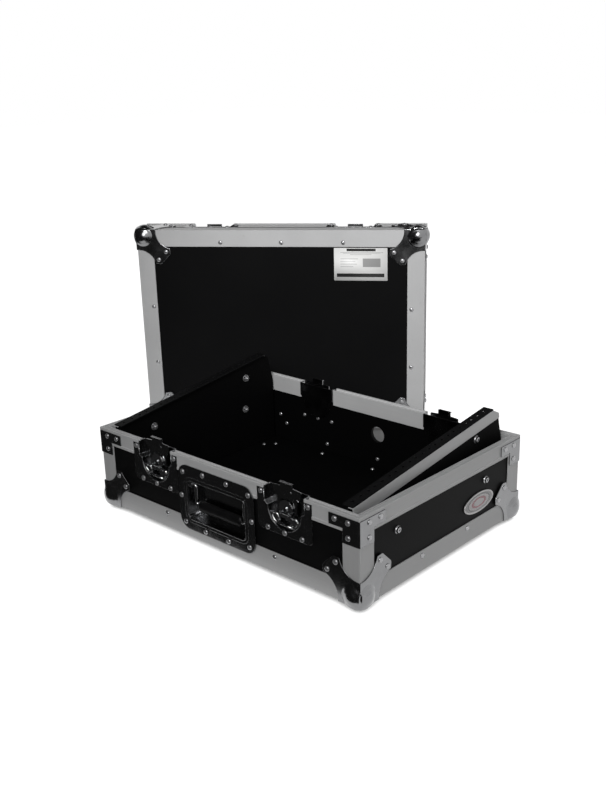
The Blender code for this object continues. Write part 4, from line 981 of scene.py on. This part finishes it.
def latch_cam():
    disc = cylinder((0, 0), 12.5 * MM, DISC_FRONT, 6 * MM, "Y", 48)
    disc = added(disc, cylinder((0, 3 * MM), 8 * MM, 5.8 * MM, 9.6 * MM, "Y", 48))
    disc = cut(disc, cylinder((0, 0), 2.9 * MM, -CUT_PAST, 20 * MM, "Y", 32))
    radius, back, front_limit = mm(2, 3.8, 0.12)
    for side in (-1, 1):
        low, high = sorted((side * 6.8 * MM, side * 9 * MM))
        ear = [(max(y, front_limit), z) for y, z in arc((HINGE_DEPTH, -HINGE_DROP), radius, 90, 270, 8)]
        ear += [(back, -HINGE_DROP - radius), (back, -HINGE_DROP + radius)]
        disc = added(disc, prism(ear, low, high, "X"))
    return cut(disc, cylinder((HINGE_DEPTH, -HINGE_DROP), 1.1 * MM, -20 * MM, 20 * MM, "X", 16))


def latch_stud_cap():
    """The stud's peened head and its washer, in front of the cam's disc."""
    profile = [(4.6, 0.0), (4.6, 0.35), (3.4, 0.5), (3.3, 1.2), (2.5, 1.9), (1.2, 2.2), (0, 2.25)]
    return moved(lathe(scaled(profile), 28), facing((0, DISC_FRONT, 0), OUT))


def latch_hook():
    """The plate that the eccentric lifts and draws down, its lip bent outward at the tip."""
    rim = LATCH_DROP / MM
    half = bent_path([(18, -12, 0), (18, rim - 10, 0), (26, rim - 7, 0), (26, rim + 3, 0), (11.5, rim + 4, 0),
                      (11.5, rim + 11, 0)], 1.2, 4)
    half = [(point.x * MM, point.y * MM) for point in half]
    hook = prism([(-x, z) for x, z in half] + list(reversed(half)), 6.3 * MM, 7.8 * MM, "Y")
    hook = cut(hook, prism(rounded_rectangle(*mm(-11.5, 11.5, -6, 12, 2)), 0, 20 * MM, "Y"))
    tip = LATCH_DROP + 11 * MM
    bend = [(7.8, 0), (7.8, -2.2), (6.3, -2.2), (5.6, -1.5), (3.5, -1.5), (3.5, -0.3), (6.8, -0.3)]
    lip = prism([(y, tip + z) for y, z in scaled(bend)], -11.2 * MM, 11.2 * MM, "X")
    rib = prism(rounded_rectangle(*mm(-9, 9, 19.5, 25.5, 2.5)), 5.6 * MM, 6.6 * MM, "Y")
    return added(hook, lip, rib)


def latch_wing():
    """The folding wing, in a frame on its own hinge: a sheet with a hole, its barrel and its pin."""
    foot_angle = math.degrees(math.asin(WING_FOOT / WING_RADIUS))
    top_angle = math.degrees(math.asin(WING_TOP / WING_RADIUS))
    neck = 6.2 * MM
    outer = (arc((0, 0), WING_RADIUS, 180 + top_angle, 180 + foot_angle, 14)
             + arc((0, 0), WING_RADIUS, 360 - foot_angle, 360 - top_angle, 14)
             + [(neck, -WING_TOP), (neck, -HINGE_DROP), (-neck, -HINGE_DROP), (-neck, -WING_TOP)])
    wing = prism([(x, z + HINGE_DROP) for x, z in outer], -1 * MM, 1 * MM, "Y")
    hole = rounded_rectangle(-9.5 * MM, 9.5 * MM, -WING_FOOT + 3.6 * MM + HINGE_DROP,
                             -WING_TOP - 3.2 * MM + HINGE_DROP, 3 * MM)
    wing = cut(wing, prism(hole, -CUT_PAST, CUT_PAST, "Y"))
    barrel = cylinder((0, 0), 1.5 * MM, -6.5 * MM, 6.5 * MM, "X", 24)
    pin = cylinder((0, 0), 0.8 * MM, -9 * MM, 9 * MM, "X", 16)
    return added(wing, barrel, pin)


def wing_lobes():
    """The raised rims of the wing: a cup and a curved rib at each side and a bar along the foot."""
    cup = scaled([(8.3, 0.0), (8.3, 0.9), (7.7, 1.6), (6.9, 1.9), (6.0, 1.6), (5.3, 0.7), (3.4, -0.1),
                  (0, -0.3)])
    half_bar, depth, foot = 14.5 * MM, -0.7 * MM, -23.2 * MM + HINGE_DROP
    shapes = [tube(bent_path([(-half_bar, depth, foot), (half_bar, depth, foot)], 1 * MM), 1.35 * MM, 14)]
    for side in (-1, 1):
        ring = moved(lathe(cup, 40), Matrix.Diagonal((0.92, 1.06, 1.0, 1.0)))
        shapes.append(moved(ring, facing((side * 17.6 * MM, 0, -15.6 * MM + HINGE_DROP), OUT)))
        rib = arc((0, 0), 27.2 * MM, 270 + side * 33, 270 + side * 66, 8)
        shapes.append(tube([Vector((x, -0.6 * MM, z + HINGE_DROP)) for x, z in rib], 1.25 * MM, 12))
    return joined(shapes)


# Each latch's pieces: name, shape, look, moving body, rounding in mm with its segments, and the CAD node
LATCH_PIECES = (("pressed_dish", latch_dish, PLATE_CHROME, "", 0.45, 3, "dish"),
                ("rolled_edges", latch_dish_beads, PLATE_CHROME, "", 0, 0, ""),
                ("eccentric", latch_cam, CHROME, "cam", 0.3, 2, "cam"),
                ("stud_cap", latch_stud_cap, PLATE_CHROME, "", 0, 0, ""),
                ("hook_plate", latch_hook, PLATE_CHROME, "hook", 0.4, 3, "hook"),
                ("wing_sheet", latch_wing, CHROME, "wing", 0.6, 3, "wing"),
                ("wing_lobes", wing_lobes, CHROME, "wing", 0, 0, ""))


def add_latches():
    hinge = Matrix.Translation((0, HINGE_DEPTH, -HINGE_DROP))
    for name, maker, look, mover, edge, segments, node_name in LATCH_PIECES:
        mesh = mesh_of(maker(), name)
        for latch, place in LATCH_PLACES:
            piece(f"{latch}_{name}", mesh, look, f"{latch}_{mover}" if mover else "base",
                  place @ hinge if mover == "wing" else place, edge * MM, segments,
                  f"{latch}_{node_name}" if node_name else None)


def catch_dish():
    """The lid's half of a latch, in a side's frame at the rim: an open pocket with a lip for the hook."""
    flange = prism(dish_flange(-RIM_LIP - GAP, 38 * MM), GAP, GAP + DISH_SHEET, "Y")
    outer = POCKET_HALF_MOUTH + POCKET_WALL
    inner = POCKET_HALF_MOUTH
    back = RIM_WIDTH - SKIN - GAP
    depth = back - 0.7 * MM
    pocket = box((-outer, GAP + DISH_SHEET / 2, -31 * MM), (outer, back, -GAP))
    cavity = prism(rounded_rectangle(-inner, inner, *mm(-30, 20, 6)), -CUT_PAST, depth, "Y")
    dish = cut(added(flange, pocket), cavity)
    lip = box((-14 * MM, GAP, -2.8 * MM), (14 * MM, back - 0.35 * MM, -GAP * 2))
    lip = cut(lip, box((-12.5 * MM, 4.5 * MM, -CUT_PAST), (12.5 * MM, depth, CUT_PAST)))
    return added(dish, lip)


def add_catches():
    mesh = mesh_of(catch_dish(), "catch_dish")
    for name, place in CATCH_PLACES:
        piece(f"{name}_dish", mesh, PLATE_CHROME, "lid", place, 0.4 * MM, 3, name)


# Recessed handle, in a frame at the plate's middle on the front's outer plane

POCKET_HALF = 59 * MM
POCKET_TOP = 27 * MM
POCKET_FOOT = 32 * MM
BAIL_RISE = 19 * MM
BAIL_DEPTH = 6.5 * MM
BAIL_DROP = 31 * MM
BAIL_HALF_SPAN = 50 * MM
GRIP_HALF_LENGTH = 44 * MM
GRIP_SECTION = mm(5.4, 8.9)
GRIP_STEPS = 40


def handle_pocket(grow):
    return rounded_rectangle(-POCKET_HALF - grow, POCKET_HALF + grow, -POCKET_FOOT - grow, POCKET_TOP + grow,
                             8 * MM + grow)


def handle_dish():
    outline = rounded_rectangle(*mm(-78, 78, -50.5, 50.5, 19), 12)
    plate = prism(outline, -BEAD_STEP - PROUD, -BEAD_STEP - GAP, "Y")
    pocket = prism(handle_pocket(1 * MM), -BEAD_STEP - GAP - 0.75 * MM, 15 * MM, "Y")
    dish = cut(added(plate, pocket), prism(handle_pocket(0), -CUT_PAST, 14 * MM, "Y"))
    radius, back = mm(5.5, 14.5)
    barrel = arc((BAIL_DEPTH, BAIL_RISE), radius, 90, 270, 12)
    barrel += [(back, BAIL_RISE - radius), (back, BAIL_RISE + radius)]
    for side in (-1, 1):
        low, high = sorted((side * (POCKET_HALF - 4 * MM), side * (POCKET_HALF + 0.5 * MM)))
        bearing = prism(barrel, low, high, "X")
        bearing = combined(bearing, prism(handle_pocket(0.5 * MM), -CUT_PAST, 20 * MM, "Y"), "INTERSECT")
        low, high = sorted((side * (POCKET_HALF - 10 * MM), side * (POCKET_HALF - 1 * MM)))
        bearing = cut(bearing, cylinder((BAIL_DEPTH, BAIL_RISE), 3.3 * MM, low, high, "X", 24))
        dish = added(dish, bearing)
    return dish


def handle_beads():
    """Pressed lines of the plate: one round the pocket's edge and one further out."""
    shapes = []
    for grow, radius, sink in scaled([(1.5, 1.2, 0.8), (6.5, 0.8, 0.6)]):
        ring = [Vector((x, -BEAD_STEP - PROUD + sink, z)) for x, z in handle_pocket(grow)]
        shapes.append(tube(ring, radius, 12, closed=True))
    return joined(shapes)


def handle_bail():
    half = [(POCKET_HALF - 1.3 * MM, 0, 0), (BAIL_HALF_SPAN, 0, 0), (BAIL_HALF_SPAN, 0, -BAIL_DROP)]
    points = half + [(-x, y, z) for x, y, z in reversed(half)]
    return tube(bent_path(points, 5 * MM, 8), 3 * MM, 24)


def handle_grip():
    """A moulded grip of oval section, a little waisted, with rounded ends."""
    shape = bmesh.new()
    rings = []
    for i in range(GRIP_STEPS + 1):
        along = -1 + 2 * i / GRIP_STEPS
        ease = 1 - 0.06 * math.cos(along * math.pi) ** 2
        cap = 1.0
        if abs(along) > 0.93:
            cap = math.sqrt(max(0.0, 1 - ((abs(along) - 0.93) / 0.07) ** 2)) * 0.35 + 0.65
        rings.append([shape.verts.new((along * GRIP_HALF_LENGTH, y * GRIP_SECTION[0] * cap * ease,
                                       -BAIL_DROP + z * GRIP_SECTION[1] * cap * ease))
                      for y, z in circle((0, 0), 1, 32)])
    return skinned(shape, rings)


def add_handle():
    hinge = HANDLE_PLACE @ Matrix.Translation((0, BAIL_DEPTH, BAIL_RISE))
    for name, maker, look, body, place, edge, node_name in (
            ("handle_pressed_dish", handle_dish, PLATE_CHROME, "base", HANDLE_PLACE, 0.5, "handle_dish"),
            ("handle_pressed_lines", handle_beads, PLATE_CHROME, "base", HANDLE_PLACE, 0, None),
            ("handle_bail_rod", handle_bail, CHROME, "handle", hinge, 0, "handle_bail"),
            ("handle_moulded_grip", handle_grip, RUBBER, "handle", hinge, 0.5, "handle_grip")):
        piece(name, mesh_of(maker(), name), look, body, place, edge * MM, 3, node_name)


# Rack rails, badge and the lid's paper label

RACK_UNIT = 44.45 * MM
RACK_STEPS = mm(6.35, 22.225, 38.1)
RAIL_WIDTH = 17 * MM
RAIL_TOP = 2.3 * MM
RAIL_HOLE_LINE = 29.95 * MM
RAIL_HOLE_RADIUS = 2.1 * MM


def rack_rail():
    length = (CASE_DEPTH - CHEEK_TOP_END - CHEEK_FRONT) / math.cos(CHEEK_SLOPE)
    strip = box((CHEEK_INSET, 0, GAP), (CHEEK_INSET + RAIL_WIDTH, length, RAIL_TOP))
    units = int(length // RACK_UNIT)
    start = (length - units * RACK_UNIT) / 2
    holes = [cylinder((RAIL_HOLE_LINE, start + unit * RACK_UNIT + step), RAIL_HOLE_RADIUS, -CUT_PAST, CUT_PAST,
                      "Z", 20) for unit in range(units) for step in RACK_STEPS]
    slope = Matrix.Translation((0, CHEEK_FRONT, top_line(CHEEK_FRONT))) @ Matrix.Rotation(CHEEK_SLOPE, 4, "X")
    return moved(cut(strip, joined(holes)), slope)


def add_rails():
    for hand, side in (("left", 1), ("right", -1)):
        corner = Matrix.Translation((-side * CASE_WIDTH / 2, -CASE_DEPTH / 2, 0))
        shape = moved(rack_rail(), corner @ Matrix.Diagonal((side, 1, 1, 1)))
        piece(f"rack_rail_{hand}_strip", mesh_of(shape, "rail"), PAINT, "base", BASE_PLACE, 0.3 * MM,
              stands_for=f"rack_rail_{hand}")


def oval_body(profile, sides=72):
    """A body of oval rings (inward, out) round the badge's middle, closed at its face and back."""
    shape = bmesh.new()
    rings = []
    for inward, out in profile:
        half_width, half_height = BADGE_HALF_SIZE[0] - inward, BADGE_HALF_SIZE[1] - inward
        rings.append([shape.verts.new((half_width * x, -out, half_height * z))
                      for x, z in circle((0, 0), 1, sides)])
    return skinned(shape, rings)


def add_badge():
    height = (EDGE_LEG + BASE_HEIGHT - RIM_OUTER_LEG) / 2 - 11.9 * MM
    along = 268 * MM - CASE_DEPTH / 2
    place = BASE_PLACE @ side_matrix(1) @ Matrix.Translation((along, INSET - GAP, height))
    ring = scaled([(0.15, 0), (0, 0.3), (0, 1.2), (0.35, 1.75), (0.9, 1.98), (1.7, 1.98), (2.3, 1.7),
                   (2.6, 1.3), (2.9, 1.15)])
    face = scaled([(2.7, 0.9), (2.7, 1.2), (3.4, 1.32), (4.5, 1.36)])
    piece("badge_ring", mesh_of(oval_body(ring), "badge_ring"), BADGE_METAL, "base", place, stands_for="badge")
    piece("badge_face", mesh_of(oval_body(face), "badge_face"), ENAMEL, "base", place)


def add_label():
    """A sheet on the lid's laminate."""
    left, top, back, front = mm(101, -154, 0.05, 0.06)
    half_width, half_height = LABEL_SIZE[0] / 2, LABEL_SIZE[1] / 2
    middle = (left + half_width, top + half_height, INSET - front)
    outline = rounded_rectangle(-half_width, half_width, -half_height, half_height, 1 * MM, 4)
    sheet = prism(outline, -front, back, "Z")
    piece("lid_label", mesh_of(sheet, "label"), LABEL, "lid", LID_PLACE @ Matrix.Translation(middle))


# Stage

FLOOR_LEVEL = cad_box[0][2] - 0.1 * MM
FLOOR_HALF = 9.0
FLOOR_COLOUR = (0.42, 0.42, 0.42, 1)
FLOOR_GLOW = 0.96
# GAP_GLOW is the floor's glow where shade is painted on it: in deep gaps that ambient occlusion finds within
# GAP_REACH, and in a painted round shadow about SHADE_MIDDLE, behind the base, seen through the cable port.
GAP_GLOW = 0.05
GAP_REACH = 0.35
SHADE_MIDDLE = (-0.125, 0.52, FLOOR_LEVEL)
FLAG_GLOW = 0.022
WORLD_LEVEL = 0.14


def seen_by(tree):
    """1 for what the camera sees, directly, in a reflection or through glass."""
    rays = node(tree, "ShaderNodeLightPath").outputs
    return maths(tree, "MAXIMUM", maths(tree, "MAXIMUM", rays["Is Camera Ray"], rays["Is Glossy Ray"]),
                 rays["Is Transmission Ray"])


def stage_card(name, low, high):
    """A flat card on the stage between two opposite corners, and the empty tree of its material."""
    (x0, y0, z0), (x1, y1, z1) = low, high
    corners = [(x0, y0, z0), (x1, y1, z0), (x1, y1, z1), (x0, y0, z1)]
    if z0 == z1:
        corners = [(x0, y0, z0), (x1, y0, z0), (x1, y1, z0), (x0, y1, z0)]
    mesh = bpy.data.meshes.new(name)
    mesh.from_pydata(corners, [], [(0, 1, 2, 3)])
    card = bpy.data.objects.new(name, mesh)
    scene.collection.objects.link(card)
    made, tree = new_look(name)
    tree.nodes.clear()
    mesh.materials.append(made)
    return card, tree


def add_floor():
    """A pale floor that the camera sees white, its glow dimmed as painted shade in the deep gaps beside the
    case and in a painted round shadow behind the base.
    """
    floor, tree = stage_card("floor", (-FLOOR_HALF, -FLOOR_HALF, FLOOR_LEVEL),
                             (FLOOR_HALF, FLOOR_HALF, FLOOR_LEVEL))
    # Painted shade: the glow falls to GAP_GLOW where ambient occlusion finds a deep gap beside the case.
    openness = node(tree, "ShaderNodeAmbientOcclusion", {"samples": 8}, {"Distance": GAP_REACH}).outputs["AO"]
    open_level = ranged(tree, openness, 0.05, 0.33, GAP_GLOW, FLOOR_GLOW)
    # Painted shadow: a soft round patch about SHADE_MIDDLE where the glow also falls to GAP_GLOW.
    away = node(tree, "ShaderNodeVectorMath", {"operation": "DISTANCE"}, {0: place_of(tree), 1: SHADE_MIDDLE})
    shade_level = ranged(tree, away.outputs["Value"], 0.05, 0.16, GAP_GLOW, FLOOR_GLOW)
    level = times(tree, seen_by(tree), maths(tree, "MINIMUM", open_level, shade_level))
    glow = node(tree, "ShaderNodeEmission", values={"Strength": level})
    pale = node(tree, "ShaderNodeBsdfDiffuse", values={"Color": FLOOR_COLOUR})
    both = node(tree, "ShaderNodeAddShader", values={0: glow.outputs[0], 1: pale.outputs[0]})
    node(tree, "ShaderNodeOutputMaterial", values={"Surface": both.outputs[0]})


def add_world():
    world = bpy.data.worlds.new("studio")
    world.use_nodes = True
    scene.world = world
    tree = world.node_tree
    tree.nodes.clear()
    level = ranged(tree, seen_by(tree), 0.0, 1.0, WORLD_LEVEL, 1.0)
    back = node(tree, "ShaderNodeBackground", values={"Color": (1, 1, 1, 1), "Strength": level})
    node(tree, "ShaderNodeOutputWorld", values={"Surface": back.outputs[0]})


def add_lamp(name, kind, place, aim, power, **settings):
    data = assign(bpy.data.lights.new(name, kind), {"energy": power, **settings})
    lamp = bpy.data.objects.new(name, data)
    way = Vector(aim) - Vector(place)
    lamp.matrix_world = Matrix.Translation(place) @ way.to_track_quat("-Z", "Y").to_matrix().to_4x4()
    scene.collection.objects.link(lamp)
    return lamp


def add_flag(name, low, high):
    """A dark studio card that only shows in reflections."""
    card, tree = stage_card(name, low, high)
    dark = node(tree, "ShaderNodeEmission", values={"Strength": FLAG_GLOW})
    node(tree, "ShaderNodeOutputMaterial", values={"Surface": dark.outputs[0]})
    assign(card, {f"visible_{ray}": False for ray in ("camera", "diffuse", "shadow", "transmission")})


def add_stage():
    add_floor()
    add_world()
    add_lamp("key_lamp", "AREA", (0.6, -1.05, 0.75), (0.15, 0.1, -0.05), 6.5, shape="RECTANGLE", size=0.8,
             size_y=0.6)
    add_lamp("rear_lamp", "AREA", (-1.3, 2.1, 0.7), (-0.1, 0.3, 0.0), 20, shape="RECTANGLE", size=1.2,
             size_y=1.2).visible_glossy = False
    add_lamp("lid_lamp", "SPOT", (0.75, -1.0, 1.1), (-0.13, 0.41, 0.23), 98, spot_size=math.radians(32),
             spot_blend=0.8, shadow_soft_size=0.2)
    level = cad_box[0][2] + 1 * MM
    left, front, foot, top = -3.2, -3.4, -0.2, 2.6
    add_flag("floor_flag", (left, front, level), (2.0, -0.028, level))
    add_flag("front_flag", (left, front, foot), (2.0, front, top))
    add_flag("left_flag", (left, front, foot), (left, 0.2, top))
    add_flag("top_flag", (left, front, top), (1.3, 2.6, top))
    add_flag("rear_flag", (-3.0, 2.6, 0.3), (-0.8, 2.6, 1.8))


add_camera()
scene.view_settings.view_transform = "Standard"
for step in (dress_nodes, add_rivets, add_clinches, add_bolts, add_corners, add_balls, add_latches, add_catches,
             add_handle, add_rails, add_badge, add_label, add_stage):
    step()

bpy.context.view_layer.update()
